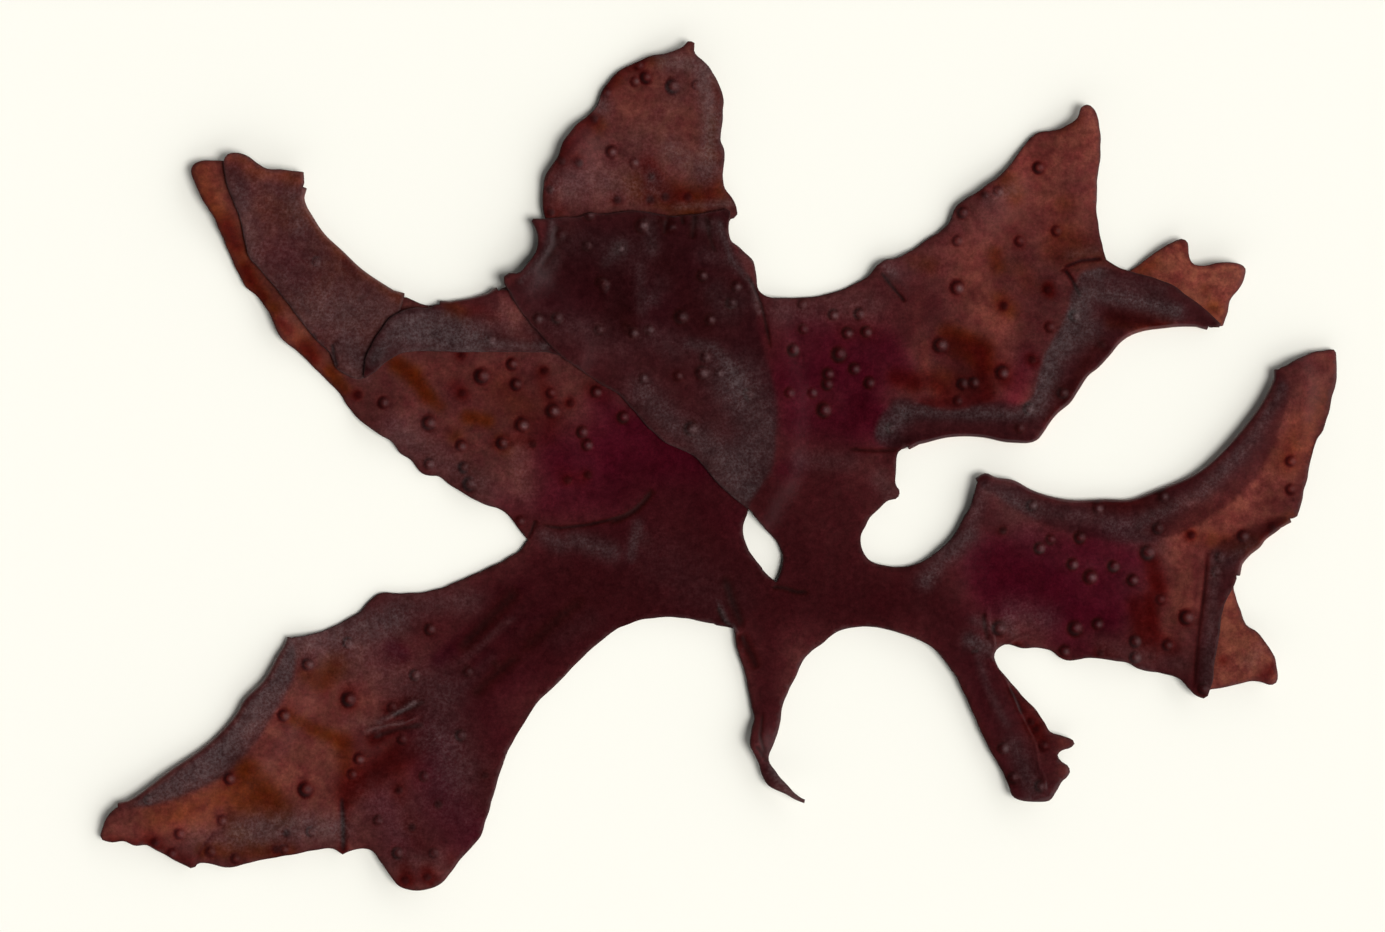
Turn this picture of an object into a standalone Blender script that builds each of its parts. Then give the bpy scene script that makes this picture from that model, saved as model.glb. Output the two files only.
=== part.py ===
"""Thallus of a small red seaweed, lying flat.

One thin, forked blade that grew as one piece. It is built the way the real blade lies: a single
sheet of even thickness whose two halves overlap in the middle, with five margins folded over or
under, so that the sheet is two or three layers deep there. Every layer is really present, and each
folded margin turns round in a real U bend.

The blade is drawn in plan first. A plan unit is UNIT millimetres, x runs to the right and y runs
down the plan sheet. The finished part is in metres, +Z up, with its origin under the middle of its
box, on the surface it lies on.
"""
import math

import bmesh
import bpy
import numpy as np
from mathutils import Vector
from mathutils.geometry import delaunay_2d_cdt

# ---------------------------------------------------------------- driving dimensions
UNIT = 50.0 / 590.0        # mm in one plan unit
BLADE = 0.36               # mm, thickness of the blade
BASE_THICK = 0.34          # mm, what the blade gains at the base, where the stipe starts
BASE_AT = (778.0, 650.0)   # plan place of the thickest part
BASE_REACH = 95.0          # plan units over which that gain fades
GAP = 0.10                 # mm between layers that lie on each other
RIM = 0.12                 # mm that the rounded rim stands beyond the flat of the blade
DRAPE = 17.0               # plan units over which a layer climbs onto the one below
EDGE_STEP = 17.0           # plan units between two points of a margin
FIELD_STEP = 33.0          # plan units between two points inside the blade
FINE_STEP = 17.0           # plan units between points where a layer climbs
BEND_STEPS = 3             # facets round a U bend
GRID = 2.0                 # plan units of the raster that layers are stacked on
PLAN = (1385, 932)         # plan sheet, in plan units

# ---------------------------------------------------------------- the plan
# A third number marks a sharp corner. Each margin runs between two of them.

# Left half, the lower layer. It carries lobe A (lower left), lobe B (upper left) and lobe C (top).
SINUS = (776.0, 582.5)     # bottom of the eye-shaped gap, where the two halves part
CUT = (734.5, 628.0)       # seam between the halves, at the left of the stipe
LEFT = [
    ("free", [CUT, (715, 625), (690, 619), (660, 617), (622, 626), (590, 651), (560, 681), (535, 707),
              (519, 731), (507, 754), (497, 782), (487, 818), (479, 839), (460, 859), (444, 880),
              (430, 888), (411, 889), (398, 884), (382, 863), (371, 849), (349, 851), (343, 854, 1),
              (331, 849), (290, 855), (258, 860), (232, 867), (199, 863), (194, 870, 1), (172, 858),
              (159, 851), (148, 844), (135, 845), (125, 841), (113, 842), (100, 838, 1), (103, 828), (108, 816), (119, 805)]),
    ("a_fold", [(119, 805), (136, 796), (168, 772), (210, 742), (235, 716), (245, 699), (264, 680),
                (280, 652), (291, 637)]),
    ("free", [(291, 637), (312, 634), (337, 625), (360, 611), (379, 594), (404, 593), (433, 590),
              (462, 579), (503, 560), (520, 550), (528, 540, 1), (520, 531), (513, 521), (506, 513),
              (498, 508), (488, 506), (475, 500), (462, 492), (450, 484), (440, 477), (430, 476),
              (422, 473), (416, 466), (410, 459), (400, 452), (392, 442), (380, 435), (365, 424),
              (355, 415), (345, 402), (335, 388), (322, 376), (312, 366), (300, 354), (290, 345),
              (282, 338), (276, 328), (270, 315), (264, 305), (257, 297), (247, 288), (242, 280),
              (236, 268), (231, 257), (225, 243), (219, 230), (215, 217), (206, 203), (200, 192),
              (194, 180), (191, 170), (194, 164), (202, 161), (213, 161), (226, 162), (240, 167),
              (257, 179), (276, 182), (294, 183), (304.5, 187)]),
    ("b_fold", [(304.5, 187), (306, 203), (314, 218), (325, 234), (343, 251), (362, 269), (387, 286),
                (404, 296)]),
    ("free", [(404, 296), (418, 303), (429, 305.5), (440, 303.5)]),
    ("t_fold", [(440, 303.5), (455, 300.5), (468, 298.5), (482, 295), (498, 290)]),
    ("free", [(498, 290), (512, 284), (528, 268), (540, 246), (546, 225), (543, 210), (543, 193),
              (546, 175), (557, 158), (563, 143), (576, 126), (594, 110), (605, 87), (617, 73),
              (634, 64), (653, 56), (668, 53), (682, 48), (688, 42, 1), (694, 43), (695, 53),
              (710, 68), (720, 87), (723, 103), (723, 122), (721, 141), (724, 152), (723, 168),
              (725, 187), (732, 197), (737, 208), (738, 218, 1), (731, 220), (728, 232), (733, 248),
              (743, 263), (751, 282), (756, 300),
              (758, 326), (764, 349), (773, 376), (777, 402), (777, 435), (772, 469), (764, 483),
              (750, 505), (744, 523), (745, 539), (752, 555), (764, 571), SINUS]),
]

# Right half, the upper layer. It carries lobe D (upper right), lobe E (right), lobe F (the small
# hand) and the stipe.
RIGHT = [
    ("free", [SINUS, (781, 568), (783, 555), (775, 540), (761, 524), (748, 508), (726, 491),
              (710, 475), (694, 456), (678, 448), (662, 440), (643, 422), (633, 409), (619, 394),
              (600, 384), (582, 371), (560, 355), (542, 337), (527, 319), (516, 303), (509, 290),
              (504, 284), (504, 277, 1), (510, 273), (519, 273), (528, 264), (537, 250), (538, 236),
              (530, 219, 1), (543, 219), (560, 218), (579, 217), (590, 213), (600, 214), (630, 211),
              (651, 213), (665, 216), (694, 215), (713, 212), (730, 208, 1), (731, 216),
              (729, 228), (731, 241), (741, 250), (752, 259), (756, 273), (759, 290), (768, 297),
              (790, 298), (823, 295), (849, 286), (868, 275), (877, 265, 1), (885, 260), (896, 258),
              (910, 251), (926, 240), (946, 226), (956, 208), (985, 186), (1005, 170), (1022, 148),
              (1037, 133), (1055, 130), (1075, 120), (1080, 108), (1088, 105), (1095, 112),
              (1100, 140), (1098, 173), (1097, 216), (1101, 240), (1106, 260, 1), (1118, 267),
              (1130, 271), (1142, 275), (1158, 280), (1172, 286), (1184, 294), (1197, 304),
              (1209, 314), (1222, 327, 1), (1207, 327.5)]),
    ("d_fold", [(1207, 327.5), (1180, 327), (1160, 329), (1145, 331), (1130, 336), (1120, 343),
                (1110, 355), (1098, 368), (1088, 376), (1078, 391), (1070, 403), (1058, 413),
                (1051, 421), (1043, 433), (1037, 440), (1029, 443), (1015, 443), (1003, 442),
                (985, 438), (965, 436.5), (945, 438), (925, 443), (908, 447)]),
    ("free", [(908, 447), (899, 451), (896, 466), (896, 484), (900, 491), (897, 498), (888, 501),
              (878, 510), (869, 520), (862, 533), (861, 546), (869, 560), (885, 566), (904, 566),
              (926, 559), (946, 543), (962, 520), (972, 498), (976, 481)]),
    ("e_fold", [(976, 481), (984, 473), (995, 477), (1013, 480), (1032, 490), (1054, 497),
                (1076, 500), (1105, 499), (1131, 499), (1156, 490), (1194, 474), (1217, 456),
                (1242, 428), (1261, 402), (1272, 380), (1276, 369)]),
    ("free", [(1276, 369), (1286, 365), (1301, 356), (1319, 351), (1334, 350), (1336, 360),
              (1335, 380), (1330, 405), (1322, 431), (1316, 441), (1309, 466), (1301, 498),
              (1296, 516, 1), (1289, 520)]),
    ("f_fold", [(1289, 520), (1277, 531), (1265, 540), (1260, 547), (1250, 555), (1243, 563),
                (1237, 575)]),
    ("free", [(1237, 575), (1232, 587), (1226, 599), (1222, 612), (1220, 625), (1217, 645),
              (1214, 660), (1212, 675), (1210, 687), (1206, 699, 1), (1200, 698), (1194, 695),
              (1188, 689), (1181, 681), (1172, 676), (1160, 673), (1150, 672), (1138, 669),
              (1127, 663), (1115, 661), (1100, 659), (1087, 658), (1078, 660), (1068, 660),
              (1060, 657), (1050, 650), (1040, 648), (1020, 648), (1006, 645), (997, 649),
              (994, 656), (998, 667), (1006, 677), (1020, 693), (1034, 708), (1043, 720),
              (1050, 731), (1062, 735), (1072, 739), (1074, 743), (1070, 747), (1061, 750),
              (1057, 754), (1060, 761), (1067, 766), (1069, 771), (1066, 777), (1061, 781),
              (1055, 791), (1049, 800), (1035, 801), (1020, 800), (1012, 795), (1008, 785),
              (1003, 775), (996, 762), (985, 740), (972, 712), (962, 690), (952, 672), (941, 657),
              (928, 645), (912, 637), (890, 630), (871, 626.5), (853, 628), (838, 632), (822, 643),
              (810, 652), (803, 661), (797, 673), (791, 687), (785, 700), (781, 715), (779, 728),
              (775, 741), (769, 759), (777, 773), (785, 783), (793, 791), (801, 797), (808, 800, 1),
              (807, 804, 1), (795, 799), (785, 793), (775, 789), (767, 784), (762, 775), (759, 764),
              (755, 754), (750, 744), (751, 731), (754, 717), (751, 703), (748, 688), (745, 672),
              (740, 660), (736, 646), CUT]),
]

# The folded margins. Each starts on the fold it hangs from and is closed by its own free edge.
FLAPS = {
    # lower layer of lobe A's upper margin
    "a_fold": [(291, 637), (296, 655), (293, 681), (283, 700), (267, 726), (251, 748), (226, 774),
               (188, 793), (156, 804), (134, 806), (119, 805)],
    # lobe B folded over itself lengthwise
    "b_fold": [(404, 296), (398, 316), (386, 344), (374, 367), (361, 378), (349, 375), (338, 368),
               (331, 354), (319, 342), (306, 326), (298, 315), (285, 298), (272, 282), (257, 265),
               (250, 256), (246, 240), (241, 219), (234, 198), (228, 180), (226, 163), (229, 156),
               (237, 154), (247, 157), (256, 163), (268, 170), (286, 171), (304, 173, 1), (304.5, 187)],
    # small tongue of lobe B's root folded down over it
    "t_fold": [(498, 290), (522, 306), (536, 328), (524, 347), (501, 351), (470, 351), (444, 351),
               (410, 351), (398, 354), (388, 360), (376, 371), (365, 378, 1), (367, 360), (372, 347),
               (380, 334), (389, 320), (400, 313), (416, 309), (430, 309), (440, 303.5)],
    # lower margin of lobe D turned under, with the light piece that comes out beyond it
    "d_fold": [(908, 447), (893, 449), (877, 444), (875, 430), (884, 411), (895, 399), (908, 399),
               (924, 405), (944, 409), (964, 409), (985, 403), (1006, 402), (1022, 404), (1033, 395),
               (1038, 375), (1046, 353), (1060, 328), (1068, 306), (1072, 288), (1084, 272),
               (1106, 268), (1124, 273), (1140, 264), (1160, 250), (1172, 243), (1182, 240),
               (1187, 244), (1187, 256), (1191, 265), (1203, 267), (1217, 264), (1237, 264),
               (1244, 269), (1243, 279), (1236, 290), (1229, 300), (1226, 312), (1222, 325, 1),
               (1207, 327.5)],
    # upper margin of lobe E turned under
    "e_fold": [(1276, 369), (1286, 382), (1286, 400), (1279, 425), (1263, 467), (1233, 501),
               (1185, 530), (1137, 543), (1103, 540), (1073, 534), (1029, 517), (1000, 499),
               (985, 490), (976, 481)],
    # right margin of lobe E turned under, with the light piece that comes out beyond it
    "f_fold": [(1237, 575), (1232, 586), (1235, 597), (1240, 611), (1245, 625), (1256, 632), (1264, 643),
               (1272, 656), (1275, 668), (1275, 681), (1270, 684), (1260, 681), (1249, 680),
               (1233, 684), (1213, 688), (1200, 690), (1194, 684), (1196, 660), (1199, 630),
               (1203, 595), (1207, 568), (1211, 549), (1229, 538), (1247, 528), (1266, 521),
               (1281, 517), (1289, 520)],
}
UNDER = ("a_fold", "d_fold", "e_fold", "f_fold")

# Low swells of the lying blade: place, reach along and across, turn in degrees, height in mm.
SWELLS = [
    ((135, 830), 75, 45, 40, 0.9), ((265, 690), 45, 26, 48, 0.5), ((420, 870), 40, 34, 0, 0.8),
    ((300, 850), 34, 22, 0, 0.5), ((215, 185), 60, 40, 60, 0.9), ((285, 178), 34, 26, 0, 0.6),
    ((282, 320), 38, 26, 50, 0.5), ((385, 425), 34, 24, 40, 0.6), ((480, 490), 30, 22, 40, 0.5),
    ((690, 70), 60, 45, 90, 1.0), ((565, 150), 42, 26, 60, 0.7), ((716, 150), 38, 22, 90, 0.5),
    ((1088, 125), 60, 36, 75, 1.0), ((985, 195), 44, 26, 45, 0.6), ((1210, 262), 60, 42, 0, 1.0),
    ((1300, 380), 60, 40, 75, 1.1), ((1230, 440), 50, 30, 50, 0.5), ((1300, 480), 40, 26, 70, 0.6),
    ((1262, 668), 44, 36, 40, 0.9), ((1120, 652), 36, 22, 5, 0.5), ((1200, 690), 30, 22, 70, 0.5),
    ((1060, 765), 36, 30, 60, 0.7), ((1030, 800), 34, 22, 0, 0.4), ((795, 795), 34, 26, 35, 0.9),
    ((752, 740), 24, 18, 80, 0.5), ((520, 275), 34, 24, 60, 0.5), ((880, 262), 26, 20, 0, 0.5),
    ((899, 492), 18, 16, 0, 0.4),
]


# ---------------------------------------------------------------- curves
def smooth_curve(points, step):
    """Even points along a smooth curve through the given ones, sharp at each marked corner."""
    parts, run = [], [points[0][:2]]
    for p in points[1:]:
        run.append(p[:2])
        if len(p) > 2:
            parts.append(run)
            run = [p[:2]]
    if len(run) > 1:
        parts.append(run)
    out = []
    for run in parts:
        q = np.array(run, float)
        first, last = 2 * q[0] - q[1], 2 * q[-1] - q[-2]
        q = np.vstack([first, q, last])
        dense = []
        for i in range(1, len(q) - 2):
            p0, p1, p2, p3 = q[i - 1], q[i], q[i + 1], q[i + 2]
            d1 = math.sqrt(max(np.hypot(*(p1 - p0)), 1e-6))
            d2 = math.sqrt(max(np.hypot(*(p2 - p1)), 1e-6))
            d3 = math.sqrt(max(np.hypot(*(p3 - p2)), 1e-6))
            m1 = (p2 - p1) + d2 * ((p1 - p0) / d1 - (p2 - p0) / (d1 + d2))
            m2 = (p2 - p1) + d2 * ((p3 - p2) / d3 - (p3 - p1) / (d2 + d3))
            for s in np.linspace(0, 1, 9)[:-1]:
                a, b = s * s * s, s * s
                dense.append((2 * a - 3 * b + 1) * p1 + (a - 2 * b + s) * m1
                             + (3 * b - 2 * a) * p2 + (a - b) * m2)
        dense.append(q[-2])
        dense = np.array(dense)
        length = np.concatenate([[0], np.cumsum(np.hypot(*np.diff(dense, axis=0).T))])
        n = max(1, round(length[-1] / step))
        at = np.linspace(0, length[-1], n + 1)
        even = np.stack([np.interp(at, length, dense[:, k]) for k in (0, 1)], 1)
        out.append(even if not out else even[1:])
    return np.vstack(out)


def area2(loop):
    x, y = loop[:, 0], loop[:, 1]
    return float(np.sum(x * np.roll(y, -1) - np.roll(x, -1) * y))


def normals_of(loop, closed=True):
    """Unit normals that point out of a loop which runs anticlockwise (x right, y up)."""
    before = np.roll(loop, 1, axis=0)
    after = np.roll(loop, -1, axis=0)
    if not closed:
        before[0], after[-1] = loop[0], loop[-1]
    d1 = loop - before
    d2 = after - loop
    d1 /= np.maximum(np.hypot(*d1.T), 1e-9)[:, None]
    d2 /= np.maximum(np.hypot(*d2.T), 1e-9)[:, None]
    t = d1 + d2
    t /= np.maximum(np.hypot(*t.T), 1e-9)[:, None]
    return np.stack([t[:, 1], -t[:, 0]], 1)


def fold_inset():
    return (BLADE + GAP / 2) / UNIT


def half_outline(margins, step):
    """One half of the blade: its outline, which points are on which fold, and the seam ends."""
    pts, tags = [], []
    for name, points in margins:
        c = smooth_curve([tuple(p) for p in points], step)
        if len(pts):
            tags[-1].add(name)
        start = 0 if not len(pts) else 1
        for p in c[start:]:
            pts.append(p)
            tags.append({name})
    # the plan has y down: with y up the margins run clockwise, so walk them backwards
    pts = np.array(pts)[::-1] * (1, -1)
    return pts, tags[::-1]


def inset_outline(pts, tags):
    """Pull the outline in by what the rounded rim, or the bend of a fold, stands out beyond it."""
    seam_ends = (pts[0].copy(), pts[-1].copy())
    n = normals_of(pts)
    want = np.array([fold_inset() if any(t != "free" for t in g) else RIM / UNIT for g in tags])
    soft = want.copy()
    for _ in range(2):
        soft = np.maximum(want, (np.roll(soft, 1) + np.roll(soft, -1)) / 2 * 0.9)
    out = pts - n * soft[:, None]
    out[0], out[-1] = seam_ends
    return out


# ---------------------------------------------------------------- rasters of the plan
NX, NY = int(PLAN[0] / GRID) + 1, int(PLAN[1] / GRID) + 1


def mask_of(loop):
    """Raster of a closed loop (x right, y up negative plan): 1 inside it."""
    m = np.zeros((NY, NX), bool)
    x1, y1 = loop[:, 0] / GRID, -loop[:, 1] / GRID
    x2, y2 = np.roll(x1, -1), np.roll(y1, -1)
    cols = np.arange(NX)
    for row in range(max(0, int(y1.min())), min(NY, int(y1.max()) + 2)):
        yy = row + 1e-4
        hit = (y1 > yy) != (y2 > yy)
        if hit.any():
            xs = np.sort(x1[hit] + (yy - y1[hit]) * (x2[hit] - x1[hit]) / (y2[hit] - y1[hit]))
            m[row] = (np.searchsorted(xs, cols) % 2).astype(bool)
    return m


def shifted(a, dy, dx):
    out = np.zeros_like(a)
    h, w = a.shape
    ys, yd = (0, dy) if dy >= 0 else (-dy, 0)
    xs, xd = (0, dx) if dx >= 0 else (-dx, 0)
    out[yd:h - ys, xd:w - xs] = a[ys:h - yd, xs:w - xd]
    return out


def spread(a, reach):
    """Grow every value by a disc of the given reach in plan units."""
    r = int(round(reach / GRID))
    out = a.copy()
    for dy in range(-r, r + 1):
        half = int(math.sqrt(r * r - dy * dy))
        rows = shifted(a, dy, 0)
        best, span = rows.copy(), 0
        while span < half:
            hop = min(half - span, max(1, span))
            best = np.maximum(best, np.maximum(shifted(best, 0, hop), shifted(best, 0, -hop)))
            span += hop
        out = np.maximum(out, best)
    return out


def soften(a, reach):
    """Blur within a limited reach: three box blurs whose reach together is the one given."""
    r = max(1, int(round(reach / GRID / 3)))
    w = 2 * r + 1
    for _ in range(3):
        for axis in (0, 1):
            pad = [(0, 0), (0, 0)]
            pad[axis] = (r + 1, r)
            c = np.cumsum(np.pad(a, pad, mode="edge"), axis=axis)
            a = ((c[w:] - c[:-w]) if axis == 0 else (c[:, w:] - c[:, :-w])) / w
    return a


def sample(field, pts):
    """Value of a raster at plan places, between its cells by straight lines."""
    gx = np.clip(pts[:, 0] / GRID, 0, NX - 1.001)
    gy = np.clip(-pts[:, 1] / GRID, 0, NY - 1.001)
    ix, iy = gx.astype(int), gy.astype(int)
    fx, fy = gx - ix, gy - iy
    return ((field[iy, ix] * (1 - fx) + field[iy, ix + 1] * fx) * (1 - fy)
            + (field[iy + 1, ix] * (1 - fx) + field[iy + 1, ix + 1] * fx) * fy)


def thickness(pts):
    d2 = (pts[:, 0] - BASE_AT[0]) ** 2 + (pts[:, 1] + BASE_AT[1]) ** 2
    return BLADE + BASE_THICK * np.exp(-d2 / (2 * BASE_REACH ** 2))


def swell(pts):
    """Height that the whole stack of layers is lifted by, in mm."""
    z = np.zeros(len(pts))
    for (cx, cy), along, across, turn, high in SWELLS:
        a = math.radians(turn)
        dx, dy = pts[:, 0] - cx, pts[:, 1] + cy
        u = dx * math.cos(a) + dy * math.sin(a)
        v = -dx * math.sin(a) + dy * math.cos(a)
        z += high * np.maximum(0, 1 - (u / (1.7 * along)) ** 2 - (v / (1.7 * across)) ** 2) ** 2
    return z


# ---------------------------------------------------------------- sheets
def field_points(loop, fine, rng_shift):
    """Points inside a loop, on a triangular net that is finer where a layer climbs."""
    lo, hi = loop.min(0), loop.max(0)
    keep = []
    for level, gap in enumerate((FIELD_STEP, FINE_STEP)):
        dy = gap * math.sqrt(3) / 2
        rows = int((hi[1] - lo[1]) / dy) + 2
        cols = int((hi[0] - lo[0]) / gap) + 2
        for j in range(rows):
            y = lo[1] + j * dy + rng_shift
            xs = lo[0] + (np.arange(cols) + (0.5 if j % 2 else 0.0)) * gap
            row = np.stack([xs, np.full(cols, y)], 1)
            if level:
                row = row[sample(fine, row) > 0.5]
            else:
                row = row[sample(fine, row) <= 0.5]
            keep.append((row, gap))
    a, b = loop, np.roll(loop, -1, axis=0)
    out = []
    inside = mask_of(loop).astype(float)
    for row, gap in keep:
        if not len(row):
            continue
        row = row[sample(inside, row) > 0.99]
        if not len(row):
            continue
        d = b - a
        t = np.clip(((row[:, None] - a) * d).sum(2) / np.maximum((d * d).sum(1), 1e-9), 0, 1)
        near = np.hypot(*np.moveaxis(row[:, None] - (a + t[..., None] * d), 2, 0)).min(1)
        out.append(row[near > 0.5 * gap])
    return np.vstack(out) if out else np.zeros((0, 2))


def triangulate(loop, inner):
    pts = [Vector((float(x), float(y))) for x, y in np.vstack([loop, inner])]
    got = delaunay_2d_cdt(pts, [], [list(range(len(loop)))], 1, 1e-5)
    xy = np.array([(v.x, v.y) for v in got[0]])
    # the outline's points come back in their own order, one for one
    back = {i: k for k, src in enumerate(got[3]) for i in src}
    ring = [back[i] for i in range(len(loop))]
    if len(set(ring)) != len(loop):
        raise ValueError("two points of a margin fell together")
    tris = np.array([f for f in got[2]])
    return xy, tris, ring


class Sheet:
    """The middle surface of the blade: places, the half thickness vector of each, and triangles."""

    def __init__(self):
        self.place, self.half, self.tris, self.groups = [], [], [], []

    def add(self, xy, z, half, tris, up):
        base = sum(len(p) for p in self.place)
        self.place.append(np.column_stack([xy * UNIT, z]))
        h = np.zeros((len(xy), 3))
        h[:, 2] = half if up else -half
        self.half.append(h)
        t = tris + base
        self.tris.append(t if up else t[:, ::-1])
        return base

    def bend(self, low, high, place, half, normal, side):
        """U bend between two rows of points, bulging along normal. side is 1 when the blade's
        face a looks out of the bend."""
        steps = BEND_STEPS
        rows = [list(low)]
        for k in range(1, steps):
            phi = math.pi * k / steps
            base = sum(len(p) for p in self.place)
            c = (place[low] + place[high]) / 2
            r = (place[high][:, 2] - place[low][:, 2]) / 2
            radial = np.column_stack([normal * math.sin(phi), np.full(len(low), -math.cos(phi))])
            t = (np.abs(half[low][:, 2]) + np.abs(half[high][:, 2])) / 2
            self.place.append(c + radial * r[:, None])
            self.half.append(radial * t[:, None] * side)
            rows.append(list(range(base, base + len(low))))
        rows.append(list(high))
        for a, b in zip(rows, rows[1:]):
            for i in range(len(a) - 1):
                quad = (a[i], a[i + 1], b[i + 1], b[i])
                self.tris.append(np.array([(quad[0], quad[1], quad[2]), (quad[0], quad[2], quad[3])]))

    def arrays(self):
        return np.vstack(self.place), np.vstack(self.half), np.vstack(self.tris)


def build_sheet():
    left, left_tags = half_outline(LEFT, EDGE_STEP)
    right, right_tags = half_outline(RIGHT, EDGE_STEP)
    left, right = inset_outline(left, left_tags), inset_outline(right, right_tags)

    # the seam between the halves, walked down in one and up in the other
    n = max(1, round(np.hypot(*(left[0] - left[-1])) / EDGE_STEP))
    seam = [left[-1] + (left[0] - left[-1]) * k / n for k in range(1, n)]
    left_loop = np.vstack([left, seam]) if seam else left
    right[0], right[-1] = left[-1], left[0]
    right_loop = np.vstack([right, seam[::-1]]) if seam else right

    # the folded margins, closed on the fold points of the half that carries them
    loops = {}
    for tags, pts, half_name in ((left_tags, left, "left"), (right_tags, right, "right")):
        for name in FLAPS:
            idx = [i for i, g in enumerate(tags) if name in g]
            if not idx:
                continue
            fold = pts[idx]
            free = smooth_curve(FLAPS[name], EDGE_STEP)[::-1] * (1, -1)
            free[0], free[-1] = fold[-1], fold[0]
            # the fold walks one way round the half; the flap lies on the same side of it
            flap = np.vstack([fold, free[1:-1]])
            loops[name] = (half_name, idx, flap, len(fold))

    # stack the layers on a raster, lowest first
    grid_pts = np.stack(np.meshgrid(np.arange(NX) * GRID, -np.arange(NY) * GRID), 2).reshape(-1, 2)
    thick = thickness(grid_pts).reshape(NY, NX)
    a, b = left[-1], left[0]
    t = np.clip(((grid_pts - a) * (b - a)).sum(1) / ((b - a) ** 2).sum(), 0, 1)
    off_seam = np.hypot(*(grid_pts - (a + t[:, None] * (b - a))).T).reshape(NY, NX)
    lift = {}
    top = np.zeros((NY, NX))
    order = list(UNDER) + ["left", "b_fold", "t_fold", "right"]
    steps_at = {}
    for name in order:
        loop = left_loop if name == "left" else right_loop if name == "right" else loops[name][2]
        m = mask_of(loop)
        own = np.where(m, top, 0.0)
        if name == "right":
            own[off_seam < 24.0] = 0.0       # the halves are one sheet there
        s = soften(spread(own, DRAPE), DRAPE)
        lift[name] = s
        grad = np.hypot(*np.gradient(s))
        steps_at[name] = spread((grad > 0.004).astype(float), 4.0)
        grown = spread(m.astype(float), 4.0) > 0.5
        top = np.where(grown, np.maximum(top, s + thick + GAP), top)

    sheet = Sheet()
    base_of = {}
    for k, name in enumerate(order):
        loop = left_loop if name == "left" else right_loop if name == "right" else loops[name][2]
        if area2(loop) < 0:
            loop = loop[::-1]
            turned = True
        else:
            turned = False
        inner = field_points(loop, steps_at[name], 0.37 * k)
        xy, tris, ring = triangulate(loop, inner)
        if turned:
            ring = ring[::-1]
        t = thickness(xy)
        z = sample(lift[name], xy) + t / 2 + swell(xy)
        up = name in ("left", "right")
        base = sheet.add(xy, z, t / 2, tris, up)
        base_of[name] = (base, ring)

    place, half, _ = sheet.arrays()
    for name, (half_name, idx, flap, n_fold) in loops.items():
        hb, hring = base_of[half_name]
        fb, fring = base_of[name]
        main = np.array([hb + hring[i] for i in idx])
        turn = np.array([fb + fring[i] for i in range(n_fold)])
        normal = normals_of(place[main][:, :2] / UNIT, closed=False)
        under = name in UNDER
        if under:
            sheet.bend(turn, main, place, half, normal, 1)
        else:
            sheet.bend(main, turn, place, half, normal, -1)
    return sheet


def weld(place, half, tris):
    """Make one point of those that lie in one place, such as both halves' points on the seam."""
    key = {}
    where = np.empty(len(place), int)
    for i, p in enumerate(np.round(place, 5)):
        where[i] = key.setdefault(tuple(p), len(key))
    n = len(key)
    new_place, new_half = np.zeros((n, 3)), np.zeros((n, 3))
    new_place[where] = place
    new_half[where] = half
    tris = where[tris]
    good = (tris[:, 0] != tris[:, 1]) & (tris[:, 1] != tris[:, 2]) & (tris[:, 2] != tris[:, 0])
    return new_place, new_half, tris[good]


def orient(tris):
    """Wind every triangle like its neighbours."""
    edges = {}
    for i, t in enumerate(tris):
        for a, b in ((t[0], t[1]), (t[1], t[2]), (t[2], t[0])):
            edges.setdefault((min(a, b), max(a, b)), []).append((i, a < b))
    near = [[] for _ in tris]
    for pair in edges.values():
        if len(pair) > 2:
            raise ValueError("three triangles share an edge")
        if len(pair) == 2:
            (i, d1), (j, d2) = pair
            near[i].append((j, d1 == d2))
            near[j].append((i, d1 == d2))
    flip = np.full(len(tris), -1)
    flip[0] = 0
    stack = [0]
    while stack:
        i = stack.pop()
        for j, wrong in near[i]:
            want = flip[i] ^ int(wrong)
            if flip[j] < 0:
                flip[j] = want
                stack.append(j)
            elif flip[j] != want:
                raise ValueError("the sheet is twisted")
    if (flip < 0).any():
        raise ValueError("the sheet is in two pieces")
    out = tris.copy()
    out[flip == 1] = out[flip == 1][:, ::-1]
    return out


def solid_of(place, half, tris):
    """Both faces of the blade, joined all round by a rounded rim."""
    n = len(place)
    used = {}
    for t in tris:
        for a, b in ((t[0], t[1]), (t[1], t[2]), (t[2], t[0])):
            used[(a, b)] = used.get((a, b), 0) + 1
    rim = [(a, b) for (a, b) in used if (b, a) not in used]
    out = np.zeros((n, 3))
    for a, b in rim:
        side = np.cross(place[b] - place[a], half[a] + half[b])
        side /= max(np.linalg.norm(side), 1e-9)
        out[a] += side
        out[b] += side
    ends = sorted({v for e in rim for v in e})
    number = {v: i for i, v in enumerate(ends)}
    d = out[ends]
    d /= np.maximum(np.linalg.norm(d, axis=1), 1e-9)[:, None]
    nose = place[ends] + d * RIM
    verts = np.vstack([place + half, place - half, nose])
    faces = [tuple(t) for t in tris] + [(t[2] + n, t[1] + n, t[0] + n) for t in tris]
    for a, b in rim:
        na, nb = 2 * n + number[a], 2 * n + number[b]
        faces += [(b, a, na), (b, na, nb), (nb, na, a + n), (nb, a + n, b + n)]
    return verts, faces


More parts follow.
